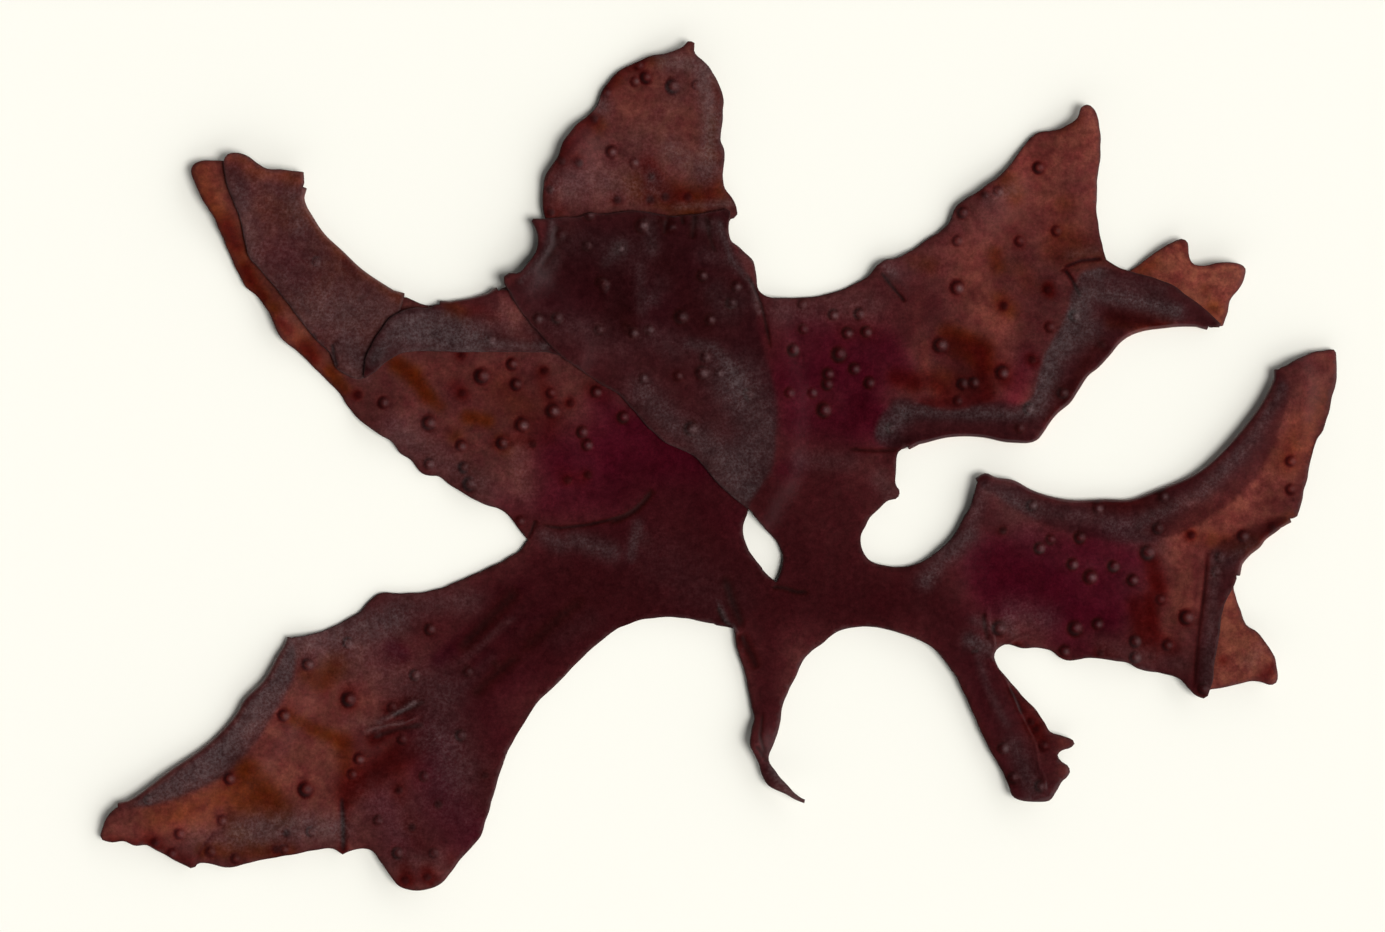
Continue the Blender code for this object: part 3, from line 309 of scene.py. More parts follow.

# Colours of the tissue, by layer: what it is like all over, and then strokes of (line, reach, strength).
# thin lets less of the layers below show. The sixth and seventh kinds of stroke are painted sheen, a grey gleam of
# light on the skin, and the seventh lies only where there is a layer below.
TISSUE = {
    "left": {
        "pale": (0.03, [([(118, 832), (140, 826)], 22, .28), ([(165, 812), (235, 792)], 20, .46), ([(150, 826), (200, 824)], 14, .30),
                        ([(255, 735), (292, 705)], 20, .28), ([(275, 768), (330, 752)], 30, .30), ([(292, 790), (325, 800)], 22, .22),
                        ([(345, 690), (385, 668)], 24, .08), ([(320, 715), (360, 705)], 18, .22),
                        ([(205, 172), (215, 192)], 18, .62), ([(225, 222), (248, 282), (290, 328), (325, 368)], 20, .36),
                        ([(288, 318), (300, 338)], 13, .35), ([(430, 372), (500, 378)], 16, .24), ([(405, 400)], 12, .10),
                        ([(448, 420), (470, 440)], 14, .12), ([(470, 322), (505, 318)], 18, .22), ([(488, 398), (512, 412)], 14, .08),
                        ([(517, 448), (524, 492)], 12, .24), ([(518, 312), (548, 346)], 14, .10), ([(560, 385), (590, 398)], 14, .06),
                        ([(636, 100), (668, 122)], 34, .28), ([(590, 180), (625, 188)], 24, .08), ([(596, 110), (612, 100)], 12, .06),
                        ([(690, 160)], 20, .20), ([(655, 60), (690, 50)], 16, .22), ([(540, 200), (552, 192)], 10, .2)]),
        "orange": (0.01, [([(160, 818), (240, 798)], 18, .32), ([(247, 770), (262, 792), (280, 812)], 12, .90),
                          ([(240, 790), (262, 806)], 18, .45), ([(322, 679), (336, 665)], 12, .72), ([(305, 672), (318, 680)], 9, .35),
                          ([(288, 715), (312, 728), (345, 742)], 7, .62), ([(345, 745), (352, 790)], 10, .55),
                          ([(205, 850), (290, 850)], 8, .62), ([(232, 824), (240, 838)], 12, .45), ([(205, 205), (212, 215)], 14, .25),
                          ([(200, 170), (240, 270), (300, 345)], 16, .24), ([(226, 222), (236, 246)], 10, .60),
                          ([(244, 268), (252, 282)], 8, .65), ([(259, 292), (264, 297)], 6, .60), ([(273, 306), (277, 311)], 6, .55),
                          ([(305, 346), (312, 358)], 8, .70), ([(330, 372), (343, 390)], 8, .80), ([(396, 364), (412, 374)], 8, .95),
                          ([(418, 382), (428, 396)], 7, .92), ([(428, 396), (440, 406)], 6, .60), ([(468, 417), (488, 421)], 7, .85),
                          ([(505, 392), (545, 425)], 20, .30), ([(455, 436)], 9, .45), ([(500, 440), (505, 448)], 8, .45),
                          ([(453, 312), (462, 318)], 9, .60), ([(655, 60)], 9, .45), ([(605, 84), (615, 80)], 8, .50),
                          ([(592, 118), (600, 128)], 8, .60), ([(560, 160)], 9, .60), ([(640, 186), (690, 204)], 14, .85),
                          ([(715, 120), (713, 160)], 7, .55), ([(700, 195), (722, 190)], 12, .45), ([(555, 208), (545, 196)], 8, .40),
                          ([(716, 80), (720, 108)], 6, .35)]),
        "red": (0.02, [([(350, 790), (372, 776), (398, 756), (426, 741)], 13, 1.0), ([(424, 738), (440, 726)], 9, .55),
                       ([(228, 226), (236, 246)], 7, .60), ([(246, 270), (252, 282)], 6, .60), ([(259, 292), (264, 298)], 5, .60),
                       ([(282, 322), (290, 330)], 6, .45), ([(306, 347), (313, 358)], 7, .60),
                       ([(392, 710), (408, 703), (424, 698)], 7, .95), ([(372, 741), (398, 726), (422, 716)], 6, .75),
                       ([(377, 738), (384, 724)], 4, .70), ([(345, 800), (344, 850)], 5, .80), ([(350, 690), (350, 705)], 8, .35),
                       ([(404, 862), (410, 880)], 6, .75), ([(427, 868), (434, 882)], 6, .75), ([(450, 858)], 7, .45),
                       ([(112, 840), (150, 845), (190, 862)], 6, .35), ([(150, 835), (158, 842)], 8, .35),
                       ([(396, 640), (402, 658)], 8, .45), ([(485, 690), (520, 655), (552, 622)], 9, .45), ([(470, 664), (474, 678)], 7, .35),
                       ([(540, 378), (552, 410), (548, 440)], 7, .35), ([(500, 444), (520, 440)], 7, .40), ([(455, 385), (465, 396)], 7, .35),
                       ([(590, 388), (604, 398)], 8, .35), ([(560, 470), (580, 480)], 9, .35), ([(480, 312), (492, 318)], 8, .45),
                       ([(648, 166), (656, 180)], 8, .90), ([(652, 186), (676, 196)], 10, .60), ([(575, 160), (581, 165)], 6, .50),
                       ([(546, 212), (560, 208)], 8, .55), ([(548, 205), (554, 180), (566, 142)], 7, .60), ([(576, 126), (594, 110), (606, 86), (618, 72), (640, 62)], 6, .55), ([(716, 90), (721, 120), (718, 150)], 5, .45), ([(595, 122)], 6, .45), ([(715, 165), (708, 200)], 8, .35),
                       ([(632, 660), (700, 660)], 4, .2), ([(422, 760), (455, 760)], 16, .25), ([(400, 770), (402, 800)], 8, .30),
                       ([(410, 820), (420, 845)], 9, .35)]),
        "magenta": (0.0, [([(625, 470), (690, 462)], 30, .96), ([(560, 462), (610, 440)], 28, .55), ([(600, 400), (632, 430)], 14, .45),
                          ([(640, 430), (672, 448)], 14, .65), ([(560, 500), (640, 490)], 20, .45), ([(620, 545), (700, 530)], 40, .45),
                          ([(560, 600), (700, 590)], 40, .35), ([(394, 646), (402, 654)], 7, .95), ([(388, 655)], 16, .25),
                          ([(440, 660), (490, 620), (520, 592)], 8, .95), ([(478, 664), (512, 630), (548, 606)], 6, .80), ([(500, 680), (560, 640)], 22, .45), ([(545, 430), (560, 460)], 14, .30),
                          ([(430, 735), (445, 800), (470, 830)], 24, .70), ([(380, 800), (400, 840)], 20, .25), ([(470, 690), (500, 740)], 16, .30), ([(500, 508), (540, 505)], 16, .25),
                          ([(690, 500), (735, 520)], 26, .40)]),
        "dark": (0.0, [([(455, 385), (520, 400), (545, 430)], 30, .26), ([(520, 460), (524, 490)], 16, .12), ([(572, 172)], 22, .36), ([(374, 775), (398, 757), (420, 744)], 9, .50),
                       ([(395, 615), (470, 640)], 24, .40), ([(430, 700), (500, 645), (560, 605)], 38, .80),
                       ([(425, 800), (425, 835)], 26, .34), ([(475, 700), (480, 790)], 34, .62), ([(455, 830)], 24, .35),
                       ([(590, 590), (740, 600)], 62, .95), ([(540, 640), (620, 600)], 44, .92), ([(690, 540), (750, 600)], 50, .92),
                       ([(350, 618), (500, 595)], 20, .45), ([(380, 430), (470, 490)], 18, .28), ([(548, 205), (562, 160), (600, 112), (612, 82)], 5, .35),
                       ([(722, 100), (724, 160)], 5, .35), ([(560, 542), (640, 540)], 18, .80), ([(506, 600), (540, 575)], 26, .60),
                       ([(506, 742), (560, 685)], 20, .40), ([(640, 495), (720, 500)], 26, .55), ([(600, 500), (640, 470)], 14, .2),
                       ([(520, 520), (535, 530)], 12, .4), ([(350, 760), (352, 745)], 9, .25)]),
        "painted_sheen": (0.03, [([(240, 832), (290, 826)], 15, 1.0), ([(310, 826), (338, 828)], 14, .95), ([(195, 835), (232, 840)], 11, .30),
                        ([(360, 660), (440, 690)], 26, .32), ([(440, 738), (455, 770)], 24, .50), ([(430, 800), (465, 820)], 26, .16),
                        ([(302, 642), (392, 622)], 18, .85), ([(400, 605), (470, 600)], 14, .35), ([(375, 800), (400, 830)], 20, .30),
                        ([(395, 430), (480, 485)], 16, .42), ([(502, 300), (560, 346)], 15, .42), ([(515, 342), (552, 344)], 5, .60),
                        ([(517, 452), (524, 492)], 12, .35), ([(545, 536), (560, 545)], 8, .50), ([(575, 540), (612, 552)], 9, .54), ([(638, 524), (631, 556)], 5, .56),
                        ([(702, 70), (711, 120), (708, 168)], 9, 1.15), ([(664, 62), (690, 64)], 9, 1.05), ([(602, 106)], 9, .90),
                        ([(379, 722), (398, 712), (414, 702)], 2.2, .90), ([(366, 731), (385, 726), (402, 722)], 2.2, .60),
                        ([(560, 188), (650, 186)], 20, .48), ([(600, 175)], 14, .35), ([(672, 150), (704, 172)], 13, .75),
                        ([(674, 92)], 14, .40), ([(640, 140), (660, 120)], 20, .22), ([(450, 700), (492, 658)], 5, .12),
                        ([(466, 658), (510, 620)], 3, .22), ([(560, 640), (590, 620)], 12, .08), ([(660, 560), (720, 600)], 30, .10), ([(719, 606), (726, 621), (738, 630)], 1.6, .75),
                        ([(678, 207), (733, 203)], 4, .60), ([(350, 720), (380, 724)], 8, .25), ([(395, 860), (440, 858)], 10, .25),
                        ([(285, 315), (296, 322)], 5, .35), ([(352, 372), (366, 378)], 6, .40)]),
        "painted_sheen_on_layers": (0.0, [([(302, 640), (255, 715), (205, 768), (150, 800)], 20, .98)]),
        "thin": (0.0, []),
    },
    "b_fold": {
        "pale": (0.18, [([(232, 158), (262, 168), (302, 178)], 9, .85), ([(308, 200), (318, 222), (346, 254), (402, 298)], 6, .42),
                        ([(258, 205), (275, 222)], 14, .20)]),
        "orange": (0.06, [([(232, 158), (262, 168), (302, 178)], 9, .30), ([(255, 177)], 6, .60), ([(292, 181)], 7, .60),
                          ([(308, 200), (318, 222), (346, 254), (402, 298)], 7, .66), ([(345, 268), (356, 276)], 7, .50),
                          ([(266, 205), (290, 215)], 14, .35), ([(305, 300), (330, 270)], 22, .22)]),
        "red": (0.03, [([(346, 262), (352, 272)], 6, .45), ([(318, 336), (324, 342)], 5, .45), ([(232, 172)], 6, .4)]),
        "magenta": (0.0, [([(285, 255), (300, 280)], 20, .22)]),
        "dark": (0.10, [([(236, 168), (246, 205)], 8, .35), ([(345, 345), (362, 360)], 10, .35), ([(300, 188), (280, 186)], 9, .25)]),
        "painted_sheen": (0.34, [([(240, 190), (255, 262)], 9, .50), ([(283, 282), (300, 296)], 10, .30), ([(295, 200), (300, 228)], 9, .45),
                        ([(325, 300), (385, 315)], 18, .50), ([(345, 320), (358, 362)], 16, .65), ([(318, 262)], 9, .35),
                        ([(305, 310), (335, 325)], 14, .35)]),
        "painted_sheen_on_layers": (0.0, []),
        "thin": (0.42, [([(232, 158), (262, 168), (302, 178)], 9, .90), ([(308, 200), (318, 222), (346, 254), (402, 298)], 7, .80)]),
    },
    "t_fold": {
        "pale": (0.0, [([(510, 305), (530, 335)], 12, .28)]), "orange": (0.0, [([(452, 309), (462, 316)], 9, .65)]),
        "red": (0.0, [([(478, 312), (492, 318)], 10, .30)]), "magenta": (0.0, [([(470, 305), (520, 300)], 14, .10)]),
        "dark": (0.06, [([(532, 332), (548, 344)], 13, .60), ([(370, 368), (378, 352)], 7, .70), ([(392, 312), (440, 311)], 3, .55)]),
        "painted_sheen": (0.0, [([(376, 358), (392, 338)], 9, .75), ([(402, 330), (440, 330), (478, 341)], 14, 1.0), ([(410, 335), (470, 342)], 9, .90),
                       ([(405, 320), (440, 317), (468, 325)], 6, .70), ([(490, 344), (545, 347)], 5, .70), ([(480, 322), (508, 330)], 9, .28), ([(505, 310), (535, 330)], 12, .35),
                       ([(400, 350), (480, 350)], 3, .40)]),
        "painted_sheen_on_layers": (0.0, []),
        "thin": (0.0, [([(458, 303), (495, 314), (530, 326)], 17, 1.0), ([(510, 295), (535, 320)], 20, 1.0)]),
    },
    "right": {
        "pale": (0.03, [([(1018, 165), (1080, 142)], 26, .54), ([(1040, 190), (1065, 220)], 26, .40), ([(1080, 140), (1092, 200)], 13, .30),
                        ([(965, 250), (985, 312)], 24, .42), ([(1002, 320), (1015, 398)], 15, .42), ([(918, 300), (914, 350)], 8, .12),
                        ([(925, 345), (924, 372)], 5, .45), ([(1084, 110), (1092, 124)], 17, 1.0), ([(1097, 130), (1097, 215)], 5, .35),
                        ([(1180, 548), (1188, 600)], 18, .46), ([(1175, 600), (1168, 640)], 12, .25), ([(1200, 522), (1262, 488), (1296, 440)], 26, .60), ([(1302, 425), (1322, 366)], 22, .20),
                        ([(1331, 356)], 10, .30), ([(1232, 520), (1262, 500)], 16, .30), ([(1062, 741)], 7, .50), ([(1064, 771)], 6, .35),
                        ([(1010, 230)], 22, .28), ([(940, 390), (948, 378)], 8, .25), ([(1140, 320), (1162, 323)], 6, .34)]),
        "orange": (0.01, [([(948, 334), (982, 350)], 10, .98), ([(958, 350), (984, 366)], 10, .92), ([(942, 380), (980, 386)], 13, .55),
                          ([(1062, 235), (1095, 256)], 14, .34), ([(1050, 252), (1070, 262)], 12, .25), ([(1004, 180), (1014, 196)], 10, .45),
                          ([(1000, 300), (1010, 310)], 9, .50), ([(995, 255), (998, 268)], 8, .50), ([(912, 262), (930, 266)], 9, .40),
                          ([(1020, 270), (1030, 285)], 12, .22), ([(900, 378), (912, 384)], 9, .40), ([(1112, 322), (1160, 322)], 7, .70),
                          ([(1065, 205)], 12, .30), ([(1290, 460), (1318, 400)], 18, .28), ([(1240, 546), (1292, 522)], 10, .55),
                          ([(1190, 535)], 6, .50), ([(1210, 540), (1235, 545)], 10, .35), ([(1078, 118), (1060, 128)], 7, .35)]),
        "red": (0.02, [([(612, 268), (624, 312)], 16, .90), ([(546, 268), (568, 232)], 9, .70), ([(664, 262), (690, 300)], 10, .35),
                       ([(952, 340), (984, 352)], 10, .50), ([(978, 352), (986, 395)], 8, .80), ([(925, 404), (980, 400)], 6, .60),
                       ([(896, 376), (914, 382)], 9, .92), ([(930, 380), (946, 392)], 9, .50), ([(965, 384), (980, 396)], 9, .60),
                       ([(1152, 565), (1158, 588)], 8, 1.0), ([(1150, 600), (1152, 655)], 8, 1.0), ([(1134, 604), (1142, 640)], 9, .85),
                       ([(1160, 640), (1172, 650)], 8, .35), ([(1100, 646), (1110, 656)], 8, .35), ([(1112, 316), (1160, 322)], 7, .75),
                       ([(1095, 345), (1104, 352)], 8, .60), ([(1060, 392), (1068, 400)], 8, .65), ([(1088, 362), (1050, 420)], 7, .50),
                       ([(1110, 505), (1172, 504)], 8, .55), ([(1020, 244), (1022, 248)], 4, .2), ([(1012, 690), (1034, 726)], 7, .65),
                       ([(1000, 742), (1012, 752)], 7, .60), ([(1010, 776), (1016, 784)], 7, .50), ([(960, 690), (1000, 775)], 7, .45),
                       ([(1030, 725), (1042, 740)], 7, .60), ([(840, 330), (870, 335)], 10, .30), ([(1048, 286), (1050, 294)], 5, .80),
                       ([(1030, 358), (1034, 362)], 5, .80), ([(1000, 370), (1004, 380)], 8, .60), ([(700, 300), (704, 330)], 12, .35),
                       ([(1264, 536), (1276, 526)], 6, .50), ([(866, 590), (890, 596)], 12, .25)]),
        "magenta": (0.05, [([(792, 375), (860, 372)], 28, .80), ([(800, 420), (850, 425)], 22, .72), ([(862, 402), (885, 430)], 14, .98),
                           ([(785, 472), (798, 466)], 11, .85), ([(1012, 400), (1026, 360)], 13, .35), ([(800, 332), (880, 345)], 20, .48),
                           ([(890, 350), (902, 372)], 12, .45), ([(1000, 565), (1050, 590)], 24, .98), ([(980, 560), (1000, 600)], 18, .65),
                           ([(1000, 575), (1110, 590)], 32, .60), ([(1060, 612), (1108, 618)], 16, .80), ([(960, 622)], 18, .45),
                           ([(1030, 545), (1130, 558)], 18, .45), ([(600, 262), (640, 300)], 24, .45), ([(560, 300), (600, 292)], 20, .30),
                           ([(1060, 640), (1085, 648)], 12, .40), ([(690, 270), (660, 310)], 20, .35), ([(740, 350), (760, 330)], 12, .35),
                           ([(1010, 760), (1020, 800)], 16, .30), ([(970, 660), (1000, 720)], 14, .60), ([(1090, 540), (1120, 530)], 12, .25)]),
        "dark": (0.0, [([(905, 416), (1020, 419)], 8, .50), ([(552, 258), (562, 246)], 12, .50), ([(985, 660), (1002, 715)], 10, .50),
                       ([(948, 384), (966, 390)], 12, .30), ([(950, 348), (975, 388)], 15, .55), ([(900, 275), (930, 315)], 20, .30), ([(1100, 636), (1180, 660)], 16, .30),
                       ([(560, 260), (680, 280), (740, 330)], 60, .55), ([(600, 240), (700, 235)], 20, .40), ([(608, 270), (616, 330)], 14, .60), ([(617, 274), (624, 304)], 12, .75), ([(738, 415), (742, 445)], 18, .32), ([(990, 695), (1008, 732)], 11, .50), ([(955, 552), (970, 530)], 11, .55), ([(560, 290), (575, 262)], 16, .45), ([(660, 240), (676, 262)], 12, .40),
                       ([(700, 280), (704, 340)], 12, .22), ([(640, 225), (720, 222)], 10, .35), ([(822, 470), (850, 540), (850, 600)], 44, .72),
                       ([(760, 600), (900, 600)], 34, .90), ([(768, 620), (765, 700), (770, 770)], 18, .70),
                       ([(930, 590), (955, 640)], 28, .90), ([(960, 640), (985, 690), (1005, 740), (1030, 790)], 24, .85), ([(945, 545), (960, 530)], 16, .75), ([(975, 505), (990, 520)], 16, .60), ([(1052, 745), (1050, 790)], 12, .3),
                       ([(900, 441), (960, 435), (1040, 441)], 6, .80), ([(1108, 350), (1088, 378), (1050, 427)], 7, .60),
                       ([(1110, 660), (1200, 690)], 12, .45), ([(880, 205), (960, 240)], 16, .20), ([(770, 310), (870, 300)], 18, .22),
                       ([(770, 500), (800, 560)], 30, .90), ([(890, 285), (900, 340)], 18, .30), ([(1000, 405), (925, 406)], 6, .35),
                       ([(985, 476), (950, 540), (905, 568)], 5, .75), ([(1020, 488), (1110, 500), (1170, 492), (1230, 444), (1274, 376)], 6, .55),
                       ([(1195, 560), (1195, 690)], 4, .25), ([(1050, 650), (1100, 660), (1150, 672), (1190, 688)], 6, .40),
                       ([(1150, 300), (1210, 324)], 10, .30), ([(1000, 735), (1012, 745)], 8, .3), ([(1180, 325), (1215, 326)], 4, .5),
                       ([(1230, 560), (1240, 552)], 6, .4), ([(640, 400), (690, 440)], 12, .25), ([(900, 440), (890, 460)], 10, .6)]),
        "painted_sheen": (0.03, [([(552, 222), (547, 250), (521, 282)], 3, .42), ([(556, 262), (530, 290)], 6, .12), ([(620, 246), (606, 262)], 6, .22), ([(575, 240), (640, 252)], 16, .14),
                        ([(620, 250)], 9, .30), ([(640, 268), (642, 312)], 6, .22), ([(652, 300)], 8, .30), ([(660, 285)], 12, .12),
                        ([(643, 392), (672, 425)], 15, .52), ([(704, 440), (732, 462)], 12, .20), ([(690, 344), (714, 348), (734, 374), (740, 388)], 6, .42), ([(705, 360), (735, 400)], 12, .12), ([(705, 255), (745, 262)], 9, .22),
                        ([(700, 222), (728, 240)], 8, .25), ([(720, 224), (732, 262), (752, 284), (759, 312)], 3, .60), ([(716, 292), (726, 310)], 13, .20), ([(1086, 110), (1090, 123)], 10, .30), ([(1008, 335), (1016, 358)], 10, .12), ([(742, 300)], 10, .18),
                        ([(540, 318), (600, 330)], 12, .12), ([(560, 330), (620, 350)], 16, .12), ([(650, 335), (675, 348)], 14, .22), ([(650, 222), (652, 250)], 7, .25),
                        ([(780, 310), (870, 306)], 16, .28), ([(886, 266), (892, 274)], 6, .60), ([(880, 480), (890, 492)], 10, .40),
                        ([(984, 490), (972, 520)], 8, .40), ([(968, 535), (940, 560), (925, 580)], 9, .62), ([(1000, 490), (1030, 510)], 12, .28),
                        ([(1005, 520), (1040, 540)], 14, .12), ([(1100, 645), (1180, 664)], 9, .20), ([(970, 640), (988, 648)], 7, .80),
                        ([(978, 655), (988, 690), (1006, 725)], 4, .25), ([(1015, 745), (1032, 790)], 10, .45), ([(774, 770), (784, 786), (800, 797)], 7, .95), ([(1012, 612), (1045, 620)], 14, .32),
                        ([(885, 230), (950, 215)], 14, .22), ([(900, 270), (960, 240)], 16, .08), ([(985, 200), (1012, 190)], 7, .45),
                        ([(1070, 255), (1095, 250)], 6, .35), ([(1110, 530), (1160, 545)], 9, .30), ([(800, 460), (850, 462)], 10, .25),
                        ([(975, 620), (992, 628)], 6, .4), ([(1250, 500), (1270, 480)], 14, .1), ([(1006, 620), (1012, 632)], 6, .5)]),
        "painted_sheen_on_layers": (0.0, [([(738, 385), (765, 430), (740, 480)], 26, .58), ([(700, 440), (745, 490)], 18, .42), ([(722, 366), (752, 384)], 12, .06),
                        ([(882, 432), (900, 416)], 11, .75), ([(900, 410), (960, 413), (1020, 414), (1034, 408)], 7, .60),
                        ([(1034, 402), (1052, 352), (1078, 305)], 13, 1.0), ([(1056, 345), (1076, 312)], 9, .60), ([(1062, 345), (1090, 330)], 12, .60),
                        ([(1072, 275), (1096, 270)], 10, .85), ([(1085, 292), (1130, 300), (1175, 312)], 8, .80), ([(1100, 280), (1160, 290)], 8, .30),
                        ([(1000, 500), (1060, 514), (1130, 524)], 8, .30), ([(1140, 522), (1200, 494), (1240, 452)], 8, .52), ([(1250, 440), (1280, 388)], 7, .45),
                        ([(1215, 555), (1212, 600), (1206, 680)], 6, .38), ([(1225, 560), (1250, 548)], 9, .3)]),
        "thin": (0.0, []),
    },
    "d_fold": {"pale": (0.95, []), "orange": (0.03, [([(1140, 268), (1150, 264)], 9, .30), ([(1213, 308)], 9, .4), ([(1205, 290)], 6, .25)]),
               "red": (0.0, [([(1182, 243)], 5, .3)]), "magenta": (0.0, []), "dark": (0.0, []), "painted_sheen": (0.02, []), "painted_sheen_on_layers": (0.0, []), "thin": (0.0, [])},
    "f_fold": {"pale": (0.74, [([(1240, 610), (1262, 650)], 14, .2)]), "orange": (0.05, []), "red": (0.0, [([(1262, 676), (1272, 668)], 5, .6), ([(1222, 660)], 5, .5)]),
               "magenta": (0.0, []), "dark": (0.0, [([(1262, 676)], 6, .35)]), "painted_sheen": (0.06, [([(1248, 662), (1258, 650)], 8, .45)]),
               "painted_sheen_on_layers": (0.0, []), "thin": (0.0, [])},
    "a_fold": {"pale": (0.3, []), "orange": (0.0, []), "red": (0.0, []), "magenta": (0.0, []), "dark": (0.0, []), "painted_sheen": (0.0, []),
               "painted_sheen_on_layers": (0.0, []), "thin": (0.0, [])},
    "e_fold": {"pale": (0.3, []), "orange": (0.0, []), "red": (0.0, []), "magenta": (0.0, []), "dark": (0.0, []), "painted_sheen": (0.0, []),
               "painted_sheen_on_layers": (0.0, []), "thin": (0.0, [])},
}
PAINT_KINDS = ("pale", "orange", "red", "magenta", "dark", "painted_sheen", "painted_sheen_on_layers", "thin")

# Margins that stand off the ground: line, reach, height in mm.
CURLS = [
    ([(119, 805), (168, 772), (235, 716), (264, 680), (291, 637)], 30, .03), ([(545, 205), (563, 143), (605, 87)], 40, .30),
    ([(896, 258), (946, 226), (985, 186), (1022, 148)], 34, .18), ([(946, 543), (972, 498), (984, 473)], 36, .50),
    ([(912, 637), (952, 672), (985, 740), (1008, 790)], 34, .50), ([(530, 219), (538, 236)], 24, .40),
    ([(504, 277), (519, 273)], 20, .30), ([(194, 180), (225, 243), (257, 297), (300, 354)], 20, .18),
    ([(1194, 474), (1242, 428), (1276, 369)], 34, .08), ([(750, 744), (762, 775)], 18, .35),
    ([(371, 849), (398, 884)], 22, .25), ([(343, 854)], 16, .30), ([(194, 868)], 18, .28),
]


# ---------------------------------------------------------------- curves
def smooth_curve(points, step):
    """Even points along a smooth curve through the given ones, sharp at each marked corner."""
    parts, run = [], [points[0][:2]]
    for p in points[1:]:
        run.append(p[:2])
        if len(p) > 2:
            parts.append(run)
            run = [p[:2]]
    if len(run) > 1:
        parts.append(run)
    out = []
    for run in parts:
        q = np.array(run, float)
        first, last = 2 * q[0] - q[1], 2 * q[-1] - q[-2]
        q = np.vstack([first, q, last])
        dense = []
        for i in range(1, len(q) - 2):
            p0, p1, p2, p3 = q[i - 1], q[i], q[i + 1], q[i + 2]
            d1 = math.sqrt(max(np.hypot(*(p1 - p0)), 1e-6))
            d2 = math.sqrt(max(np.hypot(*(p2 - p1)), 1e-6))
            d3 = math.sqrt(max(np.hypot(*(p3 - p2)), 1e-6))
            m1 = (p2 - p1) + d2 * ((p1 - p0) / d1 - (p2 - p0) / (d1 + d2))
            m2 = (p2 - p1) + d2 * ((p3 - p2) / d3 - (p3 - p1) / (d2 + d3))
            for s in np.linspace(0, 1, 13)[:-1]:
                a, b = s * s * s, s * s
                dense.append((2 * a - 3 * b + 1) * p1 + (a - 2 * b + s) * m1
                             + (3 * b - 2 * a) * p2 + (a - b) * m2)
        dense.append(q[-2])
        dense = np.array(dense)
        length = np.concatenate([[0], np.cumsum(np.hypot(*np.diff(dense, axis=0).T))])
        n = max(1, round(length[-1] / step))
        at = np.linspace(0, length[-1], n + 1)
        even = np.stack([np.interp(at, length, dense[:, k]) for k in (0, 1)], 1)
        out.append(even if not out else even[1:])
    return np.vstack(out)


def area2(loop):
    x, y = loop[:, 0], loop[:, 1]
    return float(np.sum(x * np.roll(y, -1) - np.roll(x, -1) * y))


def normals_of(loop, reach, closed=True):
    """Unit normals that point out of a loop which runs anticlockwise, smoothed along it."""
    if closed:
        t = np.roll(loop, -reach, axis=0) - np.roll(loop, reach, axis=0)
    else:
        n = len(loop)
        i = np.arange(n)
        t = loop[np.minimum(i + reach, n - 1)] - loop[np.maximum(i - reach, 0)]
    t = t / np.maximum(np.hypot(*t.T), 1e-9)[:, None]
    return np.stack([t[:, 1], -t[:, 0]], 1)


def waves(seed, lengths, heights):
    """A smooth random field over the plan: sums of waves in all directions."""
    rng = np.random.RandomState(seed)
    parts = []
    for length, high in zip(lengths, heights):
        for _ in range(7):
            a = rng.uniform(0, 2 * math.pi)
            k = 2 * math.pi / (length * rng.uniform(0.75, 1.3))
            parts.append((k * math.cos(a), k * math.sin(a), rng.uniform(0, 2 * math.pi), high / math.sqrt(3.5)))
    def field(p):
        z = np.zeros(len(p))
        for kx, ky, phase, high in parts:
            z += high * np.sin(kx * p[:, 0] + ky * p[:, 1] + phase)
        return z
    return field


wavy_margin = waves(11, (60, 26, 14), (0.30, 0.24, 0.08))
undulation = waves(5, (120, 55, 26), (0.020, 0.014, 0.007))
long_wave = waves(23, (160, 80), (0.6, 0.4))


def half_outline(margins):
    pts, tags = [], []
    for name, points in margins:
        c = smooth_curve([tuple(p) for p in points], EDGE_STEP)
        if len(pts):
            tags[-1].add(name)
        start = 0 if not len(pts) else 1
        for p in c[start:]:
            pts.append(p)
            tags.append({name})
    # the plan has y down: with y up the margins run clockwise, so walk them backwards
    pts = np.array(pts)[::-1] * (1, -1)
    tags = tags[::-1]
    n = normals_of(pts, 2)
    free = np.array([g == {"free"} for g in tags], float)
    k = np.ones(7) / 7
    free = np.minimum(free, np.convolve(np.pad(free, 3, mode="wrap"), k, mode="valid"))
    free[:6] = 0
    free[-6:] = 0
    return pts + n * (free * wavy_margin(pts))[:, None], tags


def fold_inset():
    return (BLADE + GAP / 2) / UNIT


